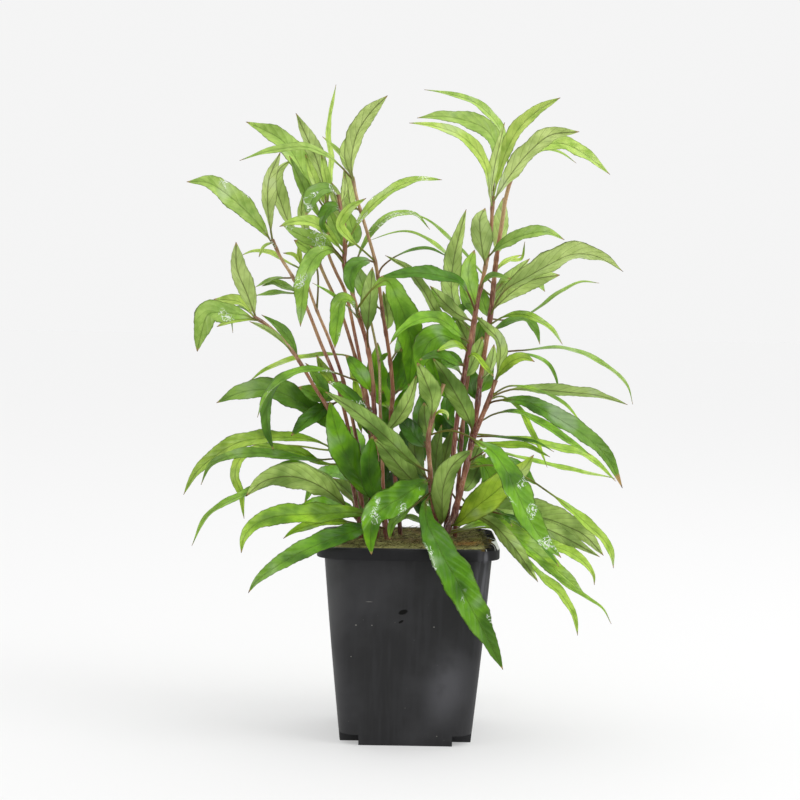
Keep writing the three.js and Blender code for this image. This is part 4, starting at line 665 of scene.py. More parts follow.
SMALL_LEAVES = {
    "left_1": [
        ([(-79, 210, 8), (-87, 217, 2), (-100.3, 218.5, -4)], 7, 45, 50, 1, 0.1),
        ([(-77, 208.5, 7.5), (-86, 208.3, 6.5), (-93, 207, 6), (-98.5, 204.5, 6)], 5, 35, 50, 0.9, 0.1),
        ([(-77, 209, 7.5), (-84, 213.5, 0), (-88, 214.5, -5), (-90.5, 209, -8), (-90.4, 201.5, -9)], 2.5, 30,
          30, 0.1, 0.2),
        ([(-56.5, 187.5, 5), (-61, 197.5, 1), (-68, 205.5, 0), (-76, 211, 0)], 6, 50, 50, 0.1, 0.1),
        ([(-60, 192.5, 5.5), (-68, 200, 9.5), (-76, 205, 12), (-82, 207.5, 13)], 4, -45, -45, 0.4, 0.1),
        ([(-42.3, 165.5, 3), (-44, 173, -3), (-48, 180, -5), (-53.5, 187, -6)], 7, 50, 50, 0.2, 0.1),
        ([(-24, 106, 0), (-30, 106.5, 8), (-40, 106.6, 18), (-50, 104.3, 26), (-58, 101.3, 30),
          (-63.5, 97.5, 32)], 7.5, 50, 50, 0.7, 0.15),
        ([(-24.5, 107, 0), (-36, 118, -12), (-52, 126.5, -22), (-70, 126, -28), (-83, 120, -31),
          (-94, 114.5, -33), (-103, 107.5, -34), (-110, 93, -34)], 6, 45, 45, 0.6, 0.3),
        ([(-25.5, 112, 0.5), (-29, 118, -2), (-36, 124.5, -6), (-45, 131, -10), (-55, 135, -13),
          (-66, 133.5, -15), (-75, 127.3, -16)], 7.5, -50, 60, 0.6, 0.15),
        ([(-25.9, 108.2, 2), (-24.7, 113.7, -6), (-22.8, 120.9, -10), (-20.4, 129.1, -12)], 8, -75, -75,
          0.05, 0.1),
    ],
    "left_2": [
        ([(-60.5, 230, -8), (-70, 229, -20), (-80, 224.5, -30)], 4, 25, 25, 0.2, 0.2),
        ([(-57, 222.5, -8), (-63, 224.5, -16), (-70, 227, -22), (-76, 225.5, -26)], 6, 35, 40, 0.4, 0.1),
        ([(-57, 222, -8), (-68, 222, -2), (-79.8, 220.5, 2)], 5, 20, 25, 0.3, 0.1),
        ([(-70.5, 248, -8), (-75.5, 244.5, -14), (-77.7, 240, -17)], 3, 40, 40, 0.6, 0.1),
        ([(-27.7, 137, -7), (-44, 136, -11), (-55, 141, -9), (-66, 143, -8), (-80, 145, -8)], 6, 50, 50, 0.7,
          0.2),
        ([(-24.5, 120, -7), (-32, 128, -26), (-40, 131, -48), (-48, 126, -64), (-53, 116, -72)], 10, 60, 60,
          0.3, 0.15),
        ([(-27.8, 138, -7), (-36, 138.8, -5), (-48, 137.8, -3), (-62, 139.3, -1), (-78, 140.8, 1),
          (-92, 139, 2), (-101, 134, 3), (-105.7, 124.2, 3)], 6.5, 45, 50, 0.2, 0.15),
        ([(-35.4, 168.6, -7), (-44.7, 163.3, -1), (-51.8, 158.1, 5), (-60.3, 149.8, 9)], 9, 70, 70, 0, 0.1),
        ([(-24.7, 116.4, -7.6), (-27.9, 119.8, -15.6), (-32.5, 123.8, -19.6), (-38.7, 128.8, -21.6)], 8, -68,
          -68, 0.3, 0.1),
        ([(-35.7, 169.9, -7), (-44.8, 170.4, -1), (-50.4, 172.3, 2), (-57, 174.8, 4)], 9, 70, 70, 0.1, 0.1),
    ],
    "left_3": [
        ([(-55.5, 234, -18), (-65, 238.5, -21), (-72, 242, -26), (-80, 243, -30), (-87, 240.5, -33)], 4, 35,
          35, 0.9, 0.1),
        ([(-56, 235.5, -18), (-57.5, 241, -14), (-57.8, 247, -12)], 3.5, 60, 60, 1, 0.1),
        ([(-56, 236, -18), (-60, 241, -16), (-65.5, 242.3, -14)], 3, 50, 50, 1, 0.1),
        ([(-34, 178, -15), (-39, 177.5, -19), (-43.5, 182, -20), (-48, 191, -20)], 7, 60, 60, 0.9, 0.1),
        ([(-22, 126, -16), (-24, 140, -30), (-30, 150, -48), (-34, 148, -62), (-36, 135, -70)], 11, 60, 60,
          0.3, 0.15),
        ([(-18.5, 106, -18), (-29, 112, -25), (-41, 114, -35), (-53, 111, -45), (-63, 105, -52)], 12, 60, 60,
          0.4, 0.15),
        ([(-48, 213.5, -16), (-47.8, 232, -15), (-52, 248, -16), (-56.5, 262, -17), (-55.5, 271, -17),
          (-54, 279, -17)], 5, -60, -55, 0.4, 0.45),
        ([(-26.5, 145, -16), (-40, 143, -28), (-60, 145, -38), (-76, 143.5, -44), (-86, 137.5, -47),
          (-88.3, 129, -48), (-85, 120, -48), (-84.3, 113, -47), (-83.5, 107.2, -46)], 6, 60, 60, 0.9, 0.4),
    ],
    "left_4": [
        ([(-24.7, 176, -6), (-27.5, 179, -9), (-31, 184, -12)], 5, 60, 60, 0.9, 0.1),
        ([(-28.6, 190, -5), (-36, 191.5, -20), (-47, 191, -26), (-62, 188, -30), (-73, 183.5, -32),
          (-82, 177, -33)], 5, 35, 40, 0.8, 0.2),
        ([(-22, 161, -8), (-25.7, 166.4, -18), (-27.6, 174, -22), (-28.6, 181.6, -24)], 6, 60, 60, 0.8, 0.1),
        ([(-47.1, 237.3, -3.1), (-49.9, 242, -9.1), (-54.5, 245.5, -11.1), (-60.1, 248.9, -11.1)], 8, 70, 70,
          0.5, 0.1),
    ],
    "left_5": [
        ([(-43.7, 263, -11), (-43, 271.5, -18), (-42.5, 281, -27), (-42.5, 291, -35), (-44, 305, -42),
          (-40, 327, -52)], 5, 40, 40, 0.8, 0.1),
        ([(-22, 170, -1), (-25.5, 163, -11), (-24.5, 152, -18)], 5, 50, 50, 0.7, 0.15),
        ([(-44.3, 256, -10.3), (-50, 265, -6), (-56, 276, -4), (-63, 291, -3)], 6.5, 60, 60, 0.1, 0.1),
        ([(-44.2, 265, -11), (-47, 272, -4), (-51, 281, -2), (-55, 292, -2)], 6, 60, 60, 0.8, 0.1),
        ([(-43.7, 267.5, -11), (-43.5, 274, -5), (-45, 283, -3), (-47, 292, -3)], 5, 60, 60, 0.7, 0.1),
        ([(-18.4, 148.8, -3.8), (-20.8, 154.5, -11.8), (-22.4, 161.6, -15.8), (-24.6, 169.7, -16.8)], 9, 75,
          75, 0.3, 0.1),
    ],
    "left_6": [
        ([(-36.3, 263, -2), (-40, 266, 8), (-44.5, 262, 14), (-45.8, 256.5, 16), (-42, 251.7, 17)], 8, 55,
          55, 0, 0.15),
        ([(-38, 271, -2), (-43, 275, 6), (-49, 272.5, 12), (-54.3, 261, 15)], 10.5, 50, 50, 0, 0.15),
        ([(-18.5, 163, 5), (-25, 165.5, 12), (-31, 170.5, 15), (-36, 174.5, 16), (-42, 178, 17)], 8, 55, 55,
          0.1, 0.12),
        ([(-19.4, 172, 5.5), (-22.5, 177, 9), (-27, 184, 9), (-33.5, 191.5, 9)], 9, 65, 65, 0.4, 0.1),
        ([(-26.2, 208.5, 5), (-32, 215.5, 6), (-41, 222, 8), (-50.5, 227.5, 10)], 3, 30, 30, 0.5, 0.3),
        ([(-33.5, 233, 2), (-29, 238.5, -3), (-26, 244.5, -14), (-21.5, 252.5, -17), (-15, 259.5, -19),
          (-8, 263, -21), (1, 262.5, -23), (8.4, 255.3, -25)], 4.5, 50, 50, 0.3, 0.2),
        ([(-37, 267, -2), (-35, 273, -5), (-35, 282, -8)], 4, -50, -50, 0.8, 0.1),
        ([(-34.4, 242, 0), (-40.5, 249.5, 12), (-46.5, 255.5, 15), (-54, 258.3, 18), (-61, 258, 20),
          (-67.5, 255.5, 20)], 7.5, 55, 55, 0.8, 0.15),
        ([(-19.2, 175.5, 6), (-30, 179.5, 11), (-42, 183, 15), (-54, 183.3, 19), (-64, 179, 27),
          (-72.5, 171, 33), (-77.5, 159, 36)], 6.5, 28, 35, 0.3, 0.25),
        ([(-34, 247, 0), (-31, 252.5, 3), (-26.5, 260, 4), (-18, 269.5, 5), (-6, 277.5, 3), (4, 280.5, 0),
          (14, 280.3, -4)], 6.5, 50, 50, 0.7, 0.1),
        ([(-34.3, 244.3, 0.2), (-36.4, 249.3, -6.8), (-39.5, 256.3, -9.8), (-43.1, 265.2, -9.8)], 9, 70, 70,
          0.4, 0.1),
        ([(-34.3, 244.6, 0.1), (-29.8, 250.4, -5.9), (-31.4, 257.4, -8.9), (-33.1, 264.4, -8.9)], 8, 72, 72,
          0.5, 0.1),
        ([(-35, 256.2, -0.9), (-37.1, 263.3, -6.9), (-39.7, 271.3, -9.9), (-41.8, 278.3, -9.9)], 8, -70, -70,
          0.7, 0.1),
    ],
    "left_7": [
        ([(-31, 280.5, -10), (-36, 290.5, -15), (-40, 295, -18), (-46.5, 301, -20)], 4, 40, 40, 0.6, 0.1),
        ([(-30.8, 280, -10), (-34.8, 288, -13), (-35, 296, -16), (-31, 305, -18)], 4.5, -60, -60, 0.9, 0.1),
        ([(-19, 239, -8), (-26, 245, 0), (-33, 250.8, 9), (-37.3, 257, 13), (-33, 265, 14),
          (-24, 270.5, 13)], 7, 50, 55, 0.7, 0.3),
        ([(-17.3, 231, -8), (-15.5, 236, -12), (-9, 241.3, -16), (0, 244.8, -21), (9, 245.5, -26),
          (18, 241.5, -30)], 3, 30, 35, 0, 0.3),
        ([(-7.8, 134, -6), (-4, 142, -20), (2, 150, -38), (6, 148, -52), (8, 138, -60)], 11, 60, 60, 0.2,
          0.15),
        ([(-31, 279.5, -10), (-38, 287, -6), (-46, 292.5, -2), (-55, 295.5, 1), (-72, 293.5, 4),
          (-88, 288.3, 6)], 5, 50, 45, 0.4, 0.12),
        ([(-10.8, 188, -8), (-7, 194, -20), (-2, 198, -36), (1, 195, -50), (2, 185, -58)], 10, 60, 60, 0.3,
          0.15),
        ([(-8.9, 149, -6.5), (-12.3, 155, -14), (-13.3, 163.6, -18), (-14.2, 174, -20)], 6, 60, 60, 0.1,
          0.1),
        ([(-9.5, 158, -7), (-6.6, 163.6, -14), (-3.7, 169.3, -18), (-0.4, 177.8, -20)], 7, 60, 60, 0.35,
          0.1),
        ([(-6, 120, -4.5), (-11, 125, -18), (-15.5, 134, -23), (-18, 146, -23), (-18.5, 157, -23)], 11, 70,
          70, 0.1, 0.1),
        ([(-7.8, 136, -6), (-5.6, 141.7, -16), (-1.8, 149.3, -22), (0.1, 158.8, -26)], 12, 65, 65, 0.1, 0.1),
        ([(-5.8, 115, -4), (-6.6, 121.8, -12), (-5.6, 130.4, -17), (-6.6, 140, -19)], 10, 65, 65, 0.15, 0.1),
        ([(-9.4, 163, -7.5), (-14, 169, -21), (-17, 177, -27), (-18, 187, -30), (-17, 198, -31)], 13, 66, 66,
          0.6, 0.1),
        ([(-9, 172, -8), (-2, 177, -17), (3, 185, -21), (5, 195, -22), (5, 204, -22)], 11, 66, 66, 0.15,
          0.1),
        ([(-9.2, 168.8, -7.7), (-7.9, 175.1, -15.7), (-6.1, 184.2, -19.7), (-5.2, 195.4, -19.7)], 10, 78, 78,
          0.15, 0.1),
        ([(-13, 203, -8), (-12, 208.4, -15), (-13.1, 215.4, -18), (-14.8, 224, -18)], 7, -70, -70, 0.5, 0.1),
        ([(-15, 214.3, -8), (-21.8, 219.3, -17), (-25.4, 227.8, -20), (-29.6, 238.3, -20)], 9, 72, 72, 0.4,
          0.1),
        ([(-26.6, 264, -8.7), (-31.6, 267.4, -14.7), (-33.2, 274.4, -17.7), (-35.4, 285.4, -17.7)], 8, -72,
          -72, 0.8, 0.1),
    ],
    "left_8": [
        ([(-16.3, 188.5, 1), (-14, 190.5, 6), (-10.8, 193, 9)], 3, 60, 60, 0.4, 0.1),
        ([(-14.5, 150, 8.5), (-9.5, 155.5, 13), (-4.5, 162, 18), (0, 171, 21), (2.8, 181.8, 22)], 8.5, -65,
          -65, 0.8, 0.08),
    ],
    "right_1": [
        ([(11.5, 123, 12), (4, 116.5, 16), (-3, 110.5, 23), (-8, 105.5, 30), (-9.5, 97.5, 34)], 5.5, 50, 55,
          0.5, 0.35),
        ([(14.6, 106.5, 10), (7, 107, -4), (0, 109.5, -14), (-5, 107.5, -20)], 4.5, 40, 40, 0.7, 0.2),
        ([(11, 127, 12.5), (5, 135, 4), (2.5, 146, -2), (6, 160, -6)], 9, -60, -60, 0, 0.1),
        ([(11.5, 160.5, 17.5), (15, 163.5, 20), (18.5, 162.5, 22), (19.3, 159, 23)], 2.2, 60, 60, 1, 0.1),
        ([(9.7, 145, 15.3), (5.9, 150.3, 6), (4.9, 158.8, -2), (6.3, 168.3, -8), (7.8, 177.8, -12)], 8, 60,
          60, 0.15, 0.15),
        ([(14.5, 107.5, 10), (11, 110.5, 5), (6.5, 115, 2), (2.5, 122, 0)], 9, 70, 70, 0.05, 0.12),
        ([(9.8, 143.9, 15.1), (4.2, 148.9, 7.1), (-1, 154.9, 3.1), (-6.7, 162.9, 1.1)], 10, 75, 75, 0.05,
          0.1),
        ([(9.5, 148.9, 15.8), (8.6, 154, 7.8), (7.5, 160.1, 3.8), (6.9, 168.2, 3.8)], 9, -75, -75, 0.1, 0.1),
        ([(13.4, 112.3, 10.8), (9.8, 118.4, 2.8), (6.6, 125.5, -1.2), (3.4, 134.6, -3.2)], 10, 75, 75, 0.05,
          0.1),
    ],
    "right_2": [
        ([(39.8, 266.5, 2), (38.8, 275, 6), (40.3, 288, 9), (42.5, 298, 10), (45, 309.5, 10)], 5.5, -50, -50,
          0.9, 0.05),
        ([(32.5, 217, 4), (29, 227, 9), (28, 236, 12), (31, 245.5, 12)], 10, 65, 65, 0.6, 0.08),
        ([(27.6, 186.5, 5), (20.5, 189.5, 19), (12.5, 192, 29), (4, 189.3, 35)], 7, 50, 50, 0.1, 0.15),
        ([(28.9, 194, 5), (24.5, 197, 12), (19, 196.5, 22), (13, 194, 28)], 6, 50, 50, 0.7, 0.1),
        ([(21.2, 125, 1), (14, 130, -4), (13.5, 142, -5), (16, 157, -6)], 8, -60, -60, 0.1, 0.1),
        ([(39.6, 267, 2), (37.5, 278, 8), (36, 287, 13), (31, 295.5, 18), (22, 303, 22), (10, 307, 25),
          (-3, 308.5, 26)], 7, 50, 50, 1, 0.1),
        ([(34.5, 226, 3.5), (36, 229.5, 8), (40, 232.5, 11), (50, 231, 14)], 4.5, 45, 45, 0.2, 0.2),
        ([(28.7, 191, 5), (32, 192.5, 12), (37, 187, 16), (42, 181.5, 17)], 4, 50, 50, 0.9, 0.1),
        ([(26.6, 179.9, 5), (29.8, 185.8, -2), (33.2, 194, -5), (36.1, 202.1, -5)], 9, -70, -70, 0.5, 0.1),
        ([(27.7, 186.5, 5), (23.2, 188.7, 0), (19.6, 191.2, -3), (15.5, 194.2, -4)], 7, 70, 70, 0.2, 0.1),
        ([(31.3, 209.1, 4.4), (23.3, 213, -1.6), (16.6, 218.4, -5.6), (8.9, 226.9, -6.6)], 8, -70, -70, 0.6,
          0.1),
    ],
    "right_3": [
        ([(24.6, 118, -8), (17, 131, -11), (19, 145, -11), (21.5, 155.5, -11)], 7.5, -60, -60, 0.7, 0.1),
        ([(28.6, 179, -8), (22, 186, -22), (15, 187, -38), (10, 180, -50), (8, 170, -56)], 10, 60, 60, 0.3,
          0.15),
        ([(24.5, 110, -8), (33, 117, -18), (44, 119, -30), (55, 115, -42), (63, 107, -51)], 12, 60, 60, 0.4,
          0.15),
        ([(30.8, 198, -6), (23, 202.5, -10), (17, 207.5, -10), (11.5, 215, -8), (5, 226, -6),
          (-3, 235.5, -5), (-14, 242, -5)], 7, -50, -50, 0.6, 0.15),
        ([(24.8, 125, -8), (34, 133, -18), (45, 137, -30), (56, 134, -42), (65, 127, -50)], 11, 60, 60, 0.2,
          0.15),
        ([(24.2, 103.5, -7), (30, 108, -22), (43, 105.8, -38), (53, 94, -44), (61, 86.5, -46), (69, 79, -47),
          (77, 72.5, -48), (82.5, 65.5, -48), (85.5, 59, -48), (87.3, 50.2, -48)], 9, -60, 60, 0.8, 0.25),
        ([(24.4, 108, -7.5), (32, 111, -20), (42, 109.3, -30), (54, 104.5, -42), (64, 99.5, -49),
          (74, 96, -53), (83, 92.5, -55), (90, 87.5, -56), (94.5, 81.5, -57), (95.2, 76.3, -57)], 8.5, 55,
          60, 0.8, 0.3),
        ([(26.5, 154, -9), (20.2, 158.8, -16), (18.3, 166.4, -20), (19.3, 175, -22)], 8, 60, 60, 0.2, 0.1),
        ([(25.5, 138, -8.6), (26.9, 144.6, -18), (27.9, 153, -22), (26.9, 162.6, -24)], 7, 60, 60, 0.15,
          0.1),
        ([(32.3, 210, -6), (28, 216, -12), (24, 214, -15), (20, 208, -17)], 6, 55, 55, 0.15, 0.1),
        ([(27.5, 167, -8.5), (21, 171, -14), (14, 178, -17), (11, 188, -18), (10, 198, -18)], 12, 66, 66,
          0.4, 0.12),
        ([(26.2, 147.9, -8.9), (20.3, 152.2, -16.9), (15.7, 157.2, -20.9), (10, 163.2, -22.9)], 10, 75, 75,
          0.1, 0.1),
        ([(24.5, 114.7, -7.8), (41.5, 107.7, 0.2), (51.3, 98.1, 2.2), (66.5, 77.4, 3.2)], 8, -70, -70, 0.8,
          0.1),
        ([(24.6, 115.4, -7.8), (51.6, 110.9, -15.8), (75.1, 102.6, -19.8), (97.7, 90.7, -21.8)], 9, -68, -68,
          0.5, 0.1),
        ([(32.3, 211.3, -6), (30.3, 216.1, -13), (27.2, 222.1, -16), (24, 230.1, -16)], 8, 72, 72, 0.4, 0.1),
        ([(30.4, 194.1, -6.7), (28.6, 198.9, -14.7), (25.5, 205, -16.7), (22.3, 212, -17.7)], 9, -75, -75,
          0.2, 0.1),
        ([(30.5, 195.2, -6.7), (33.1, 200, -15.7), (34.5, 205.6, -17.7), (35.4, 211.7, -17.7)], 8, 75, 75,
          0.2, 0.1),
    ],
    "right_4": [
        ([(48.7, 281, -2.5), (58, 293, -14), (66, 296.3, -23), (74, 294.5, -28), (81.4, 289.8, -32)], 3, 40,
          40, 0.3, 0.1),
        ([(48.5, 281, -3), (46.5, 292, -16), (44, 303, -28), (39, 311.5, -36), (30, 319, -41),
          (18, 323, -45), (4.3, 325.2, -49)], 6, 40, 40, 0.4, 0.1),
        ([(42, 241, -10), (43.5, 250, -14), (44.5, 260, -16), (45, 272, -17)], 9, -70, -70, 0.5, 0.08),
        ([(33, 157, -1.5), (37.5, 160, -6), (42, 162.5, -4), (53, 164, 4), (66, 158.5, 14), (80, 150, 20),
          (92, 142.5, 22)], 6.5, 35, 40, 0.4, 0.2),
        ([(32, 152.5, -1), (45, 151.6, -9), (60, 149.5, -15), (74, 146, -19), (90, 142, -23),
          (105, 129.5, -25)], 7, 40, 40, 0.6, 0.2),
        ([(31.2, 147, 0), (47, 143, -22), (62, 139.3, -34), (82, 135, -44), (104.5, 131, -50)], 4.5, 35, 35,
          0.8, 0.2),
        ([(31.4, 148.3, 0), (40, 147.3, 7), (50, 146.8, 11), (60, 146.3, 13), (71.3, 141.3, 14)], 5.5, 45,
          45, 0.7, 0.1),
        ([(32, 151, -0.5), (42, 151.3, -4), (55, 149.9, -2), (64, 148.7, 0), (73.2, 144, 1)], 3, 35, 35, 0.1,
          0.2),
        ([(40.5, 171.8, 6), (50, 177, 10), (64, 175, 12), (77, 169, 14), (87.3, 158.5, 16)], 3.5, 35, 35,
          0.6, 0.2),
        ([(40, 170, 6), (47, 171.5, -5), (55, 165.5, -8), (61, 155, -10), (66.5, 144, -11), (70, 136, -11)],
          4.5, 40, 40, 0.8, 0.2),
        ([(36.3, 190, -7), (46, 194, -13), (56, 195.2, -17), (78, 196.3, -23), (96, 189.5, -27),
          (109, 179, -29), (112.7, 168.7, -29)], 4.5, 28, 30, 0.1, 0.2),
        ([(43, 179.5, 6), (46.5, 185, 10), (51, 189.5, 14), (57, 191.5, 17), (62.5, 189.5, 18)], 7, 55, 55,
          0.9, 0.08),
        ([(43, 180, 6), (47, 188, 1), (54, 192.5, -6), (64, 191.5, -12), (70.5, 186.5, -16), (74, 179, -19),
          (73.3, 172, -20)], 4, 30, 35, 0.3, 0.15),
        ([(43, 179.8, 6), (44.5, 187, 9), (45.3, 194, 12), (43.5, 201, 15), (38.5, 206, 18),
          (32, 212.3, 20)], 7.5, -55, -55, 0.9, 0.08),
        ([(39.3, 207.5, -9), (46, 211.8, -3), (54, 213.3, 3), (63, 211, 8), (71, 205.5, 11),
          (76.4, 198.5, 12)], 5, 45, 45, 0.6, 0.15),
        ([(38.8, 204, -8.5), (44, 206.5, -14), (51, 210, -18), (57.5, 210.8, -21), (62, 206.5, -23),
          (65, 198.3, -24)], 6.5, 45, 45, 0.1, 0.1),
        ([(39.6, 211, -9), (48, 210.5, -24), (57, 212.5, -33), (66.5, 218.4, -38), (75, 225, -42),
          (85, 230, -45), (94.3, 229.8, -48)], 4, 25, 25, 0.2, 0.3),
        ([(39.8, 213, -9), (41, 219, -15), (45, 226, -19), (52, 234, -21), (59, 241.5, -23)], 8, -60, -60,
          0.4, 0.1),
        ([(41.5, 235, -10), (48, 240.3, -16), (55, 243.3, -20)], 4, 40, 40, 0.9, 0.1),
        ([(41.6, 236.5, -10), (48, 240.5, -24), (55, 241.5, -30), (56.3, 250, -31)], 3, 50, 50, 0.9, 0.1),
        ([(41, 228, -10), (33, 236, -24), (26, 243.5, -32), (17, 252, -39), (8, 259.5, -45),
          (-3, 264.3, -50)], 3, 35, 35, 0.3, 0.1),
        ([(40.5, 222, -10), (33, 228, -26), (25.5, 234, -34), (18, 242, -42), (5, 251.5, -50),
          (-6, 254, -55), (-23, 249, -60)], 3.5, 30, 30, 0.7, 0.1),
        ([(40.6, 223, -10), (47, 230, -20), (55, 233, -32), (62, 231, -44), (67, 225, -54)], 9, 60, 60, 0.4,
          0.15),
        ([(29, 136, 1.5), (36, 137.8, -6), (40.5, 131, -12), (41, 121, -15), (39, 112, -16)], 12, 70, 70,
          0.6, 0.12),
        ([(24.3, 115.5, 5), (35, 114.5, 6), (46, 112, 15), (55, 109, 26), (62, 103.5, 36), (69, 95.5, 42),
          (77, 85.3, 45)], 6, 45, 45, 0, 0.3),
        ([(24, 114, 5), (36, 117, 0), (45, 113.8, 3), (50, 109.3, 7), (53, 105.3, 9)], 3, 45, 45, 0.3, 0.6),
        ([(28.7, 135, 2), (42, 136.5, -6), (59, 130.8, -13), (70, 124, -18), (80, 116.5, -22),
          (90, 108, -25), (99, 100, -27), (103, 93.5, -28), (104.8, 85, -28)], 7, 50, 55, 0.7, 0.5),
        ([(19.4, 101, 7.2), (30, 103.5, 2), (44, 104.5, -5), (56, 97, -10), (70, 85.5, -11), (82, 75.5, -12),
          (92, 69.5, -13), (99.5, 64.5, -14), (104.3, 56.5, -14)], 4.5, 50, 50, 0.6, 0.15),
        ([(29.7, 138, 1.5), (34, 141, 5), (38, 143.5, 8)], 1.2, 45, 45, 0, 0.9),
        ([(40.3, 171.2, 6), (50, 175, 0), (62, 175.8, -4), (78, 174.6, -8), (95, 173, -11),
          (110, 168.5, -12)], 8, -48, -45, 0.2, 0.15),
        ([(26, 122, 4), (31, 127, -5), (34.5, 134.2, -11), (38.5, 142.7, -15)], 9, -65, -65, 0.4, 0.12),
        ([(34.1, 167.9, -3.7), (32.1, 173.7, -11.7), (29.9, 181.8, -14.7), (28.2, 190.8, -14.7)], 9, 75, 75,
          0.1, 0.1),
        ([(39.4, 210.3, -8.9), (36.9, 216.2, -15.9), (34.7, 222.3, -17.9), (32.6, 228.3, -17.9)], 8, 75, 75,
          0.3, 0.1),
        ([(35.2, 180, -6), (39, 183.9, -2), (40.9, 190, 1), (41.8, 198.1, 2)], 6, -65, -65, 0.7, 0.1),
        ([(39.8, 214.5, -9.2), (50.3, 224.5, -1.2), (60.3, 230.7, 2.8), (74.4, 233.5, 3.8)], 11, -72, -72,
          0.9, 0.1),
        ([(34.4, 171.7, -4.4), (36.1, 175.8, -12.4), (39.1, 180.9, -15.4), (42, 187, -15.4)], 8, 72, 72, 0.2,
          0.1),
        ([(28.6, 134.5, 1.9), (31.7, 138.1, -6.1), (34.2, 143.8, -9.1), (36.6, 150.4, -10.1)], 9, -75, -75,
          0.1, 0.1),
    ],
}


def seen(points):
    """Places on the plant, in metres, from where the eye sees them."""
    rows = np.array(points, float) * MM
    plane = np.stack([rows[:, 0], np.zeros(len(rows)), rows[:, 1]], 1)
    return plane + (EYE - plane) * (rows[:, 2:3] / -EYE[1])


def smooth_line(points, count):
    """Evenly spaced points along a smooth curve through the given ones, with its directions and length."""
    points = np.asarray(points, float)
    ends = np.vstack([2 * points[0] - points[1], points, 2 * points[-1] - points[-2]])
    dense = []
    for i in range(1, len(ends) - 2):
        p = ends[i - 1:i + 3]
        knots = np.cumsum([0, *np.maximum(np.linalg.norm(np.diff(p, axis=0), axis=1), 1e-9) ** 0.5])
        t = np.linspace(knots[1], knots[2], 40, endpoint=False)[:, None]
        a = [(p[k] * (knots[k + 1] - t) + p[k + 1] * (t - knots[k])) / (knots[k + 1] - knots[k])
             for k in range(3)]
        b = [(a[k] * (knots[k + 2] - t) + a[k + 1] * (t - knots[k])) / (knots[k + 2] - knots[k])
             for k in range(2)]
        dense.append((b[0] * (knots[2] - t) + b[1] * (t - knots[1])) / (knots[2] - knots[1]))
    dense = np.vstack([*dense, points[-1:]])
    reach = np.concatenate([[0], np.cumsum(np.linalg.norm(np.diff(dense, axis=0), axis=1))])
    at = np.linspace(0, reach[-1], count)
    even = np.stack([np.interp(at, reach, dense[:, k]) for k in range(3)], 1)
    ways = np.gradient(even, axis=0)
    ways /= np.linalg.norm(ways, axis=1)[:, None]
    return even, ways, reach[-1]


# The stem's skin: smooth, waxy and ridged along, flushed red-brown by light and darker at its joints. Its
# ridges are 0.3 mm apart and some 7 mm long; they are painted pale as highlights, and the grooves between
# them dark as painted shade.
bark, tree = start_material("jointed_herb_stem")
along, joint, greenness = [add(tree, "Attribute", attribute_name=key).outputs["Fac"]
                           for key in ("along", "joint", "greenness")]
place = add(tree, "TexCoord").outputs["Object"]
drawn_out = add(tree, "Mapping", {"Vector": place, "Scale": (700.0, 700.0, 30.0)})
streak = add(tree, "TexNoise", (drawn_out, 5.0, 3.0))
flush = add(tree, "Math", (along, 0.55, -0.65), operation="MULTIPLY_ADD")
flush = add(tree, "Math", (add(tree, "TexNoise", (place, 42.0)), 1.7, flush), operation="MULTIPLY_ADD")
# Painted highlights on the ridges and painted shade in the grooves.
ridge = add(tree, "MapRange", (streak, 0.48, 0.66, 0.0, 0.6), **SMOOTH)
groove_shade = add(tree, "MapRange", (streak, 0.3, 0.46, 0.5, 0.0), **SMOOTH)
joint = add(tree, "Math", (joint, 0.5), operation="MULTIPLY")
colour = add(tree, "ValToRGB", (flush,), (
    (0.05, "#4e1f20"), (0.28, "#833a34"), (0.55, "#ac6c4c"), (0.95, "#d0a67c")))
for mask, code in ((greenness, "#93924e"), (ridge, "#dcb290"), (groove_shade, "#4a1c1c"), (joint, "#5a2c24")):
    colour = add(tree, "Mix", (mask, colour, code), data_type="RGBA")
surface(tree, colour, 0.3, 0.5, streak, 0.3, 0.00015)

jointed, given = start_rule("jointed_stem", {
    "Foot Radius": "Float", "Tip Radius": "Float", "Joint Swelling": "Float", "Green At Tip": "Float",
    "Finish": "Material"})
share = add(jointed, "GeometryNodeSplineParameter")
joint = add(jointed, "GeometryNodeInputRadius")
late = add(jointed, "MapRange", (share, 0.45, 0.9, 0.0, given["Green At Tip"]))
kept = given["Geometry"]
for key, value in (("along", share), ("joint", joint), ("greenness", late)):
    kept = add(jointed, "GeometryNodeStoreNamedAttribute", {"Geometry": kept, "Name": key, "Value": value},
               data_type="FLOAT", domain="POINT")
thickness = add(jointed, "MapRange", (share, 0.0, 1.0, given["Foot Radius"], given["Tip Radius"]))
swell = add(jointed, "Math", (joint, given["Joint Swelling"], 1.0), operation="MULTIPLY_ADD")
radius = add(jointed, "Math", (thickness, swell), operation="MULTIPLY")
section = add(jointed, "GeometryNodeCurvePrimitiveCircle", {"Resolution": 10, "Radius": 1.0})
swept = add(jointed, "GeometryNodeCurveToMesh", {
    "Curve": kept, "Profile Curve": section, "Scale": radius, "Fill Caps": True})
end_rule(jointed, swept, given["Finish"])


def nearest_on(lines, point):
    """The place nearest to a point on the centre lines of a shoot's stem and branches."""
    best, least = None, 1e9
    for line in lines:
        for a, b in zip(line[:-1], line[1:]):
            s = np.clip((point - a) @ (b - a) / ((b - a) @ (b - a)), 0, 1)
            place = a + (b - a) * s
            if np.linalg.norm(place - point) < least:
                best, least = place, np.linalg.norm(place - point)
    return best


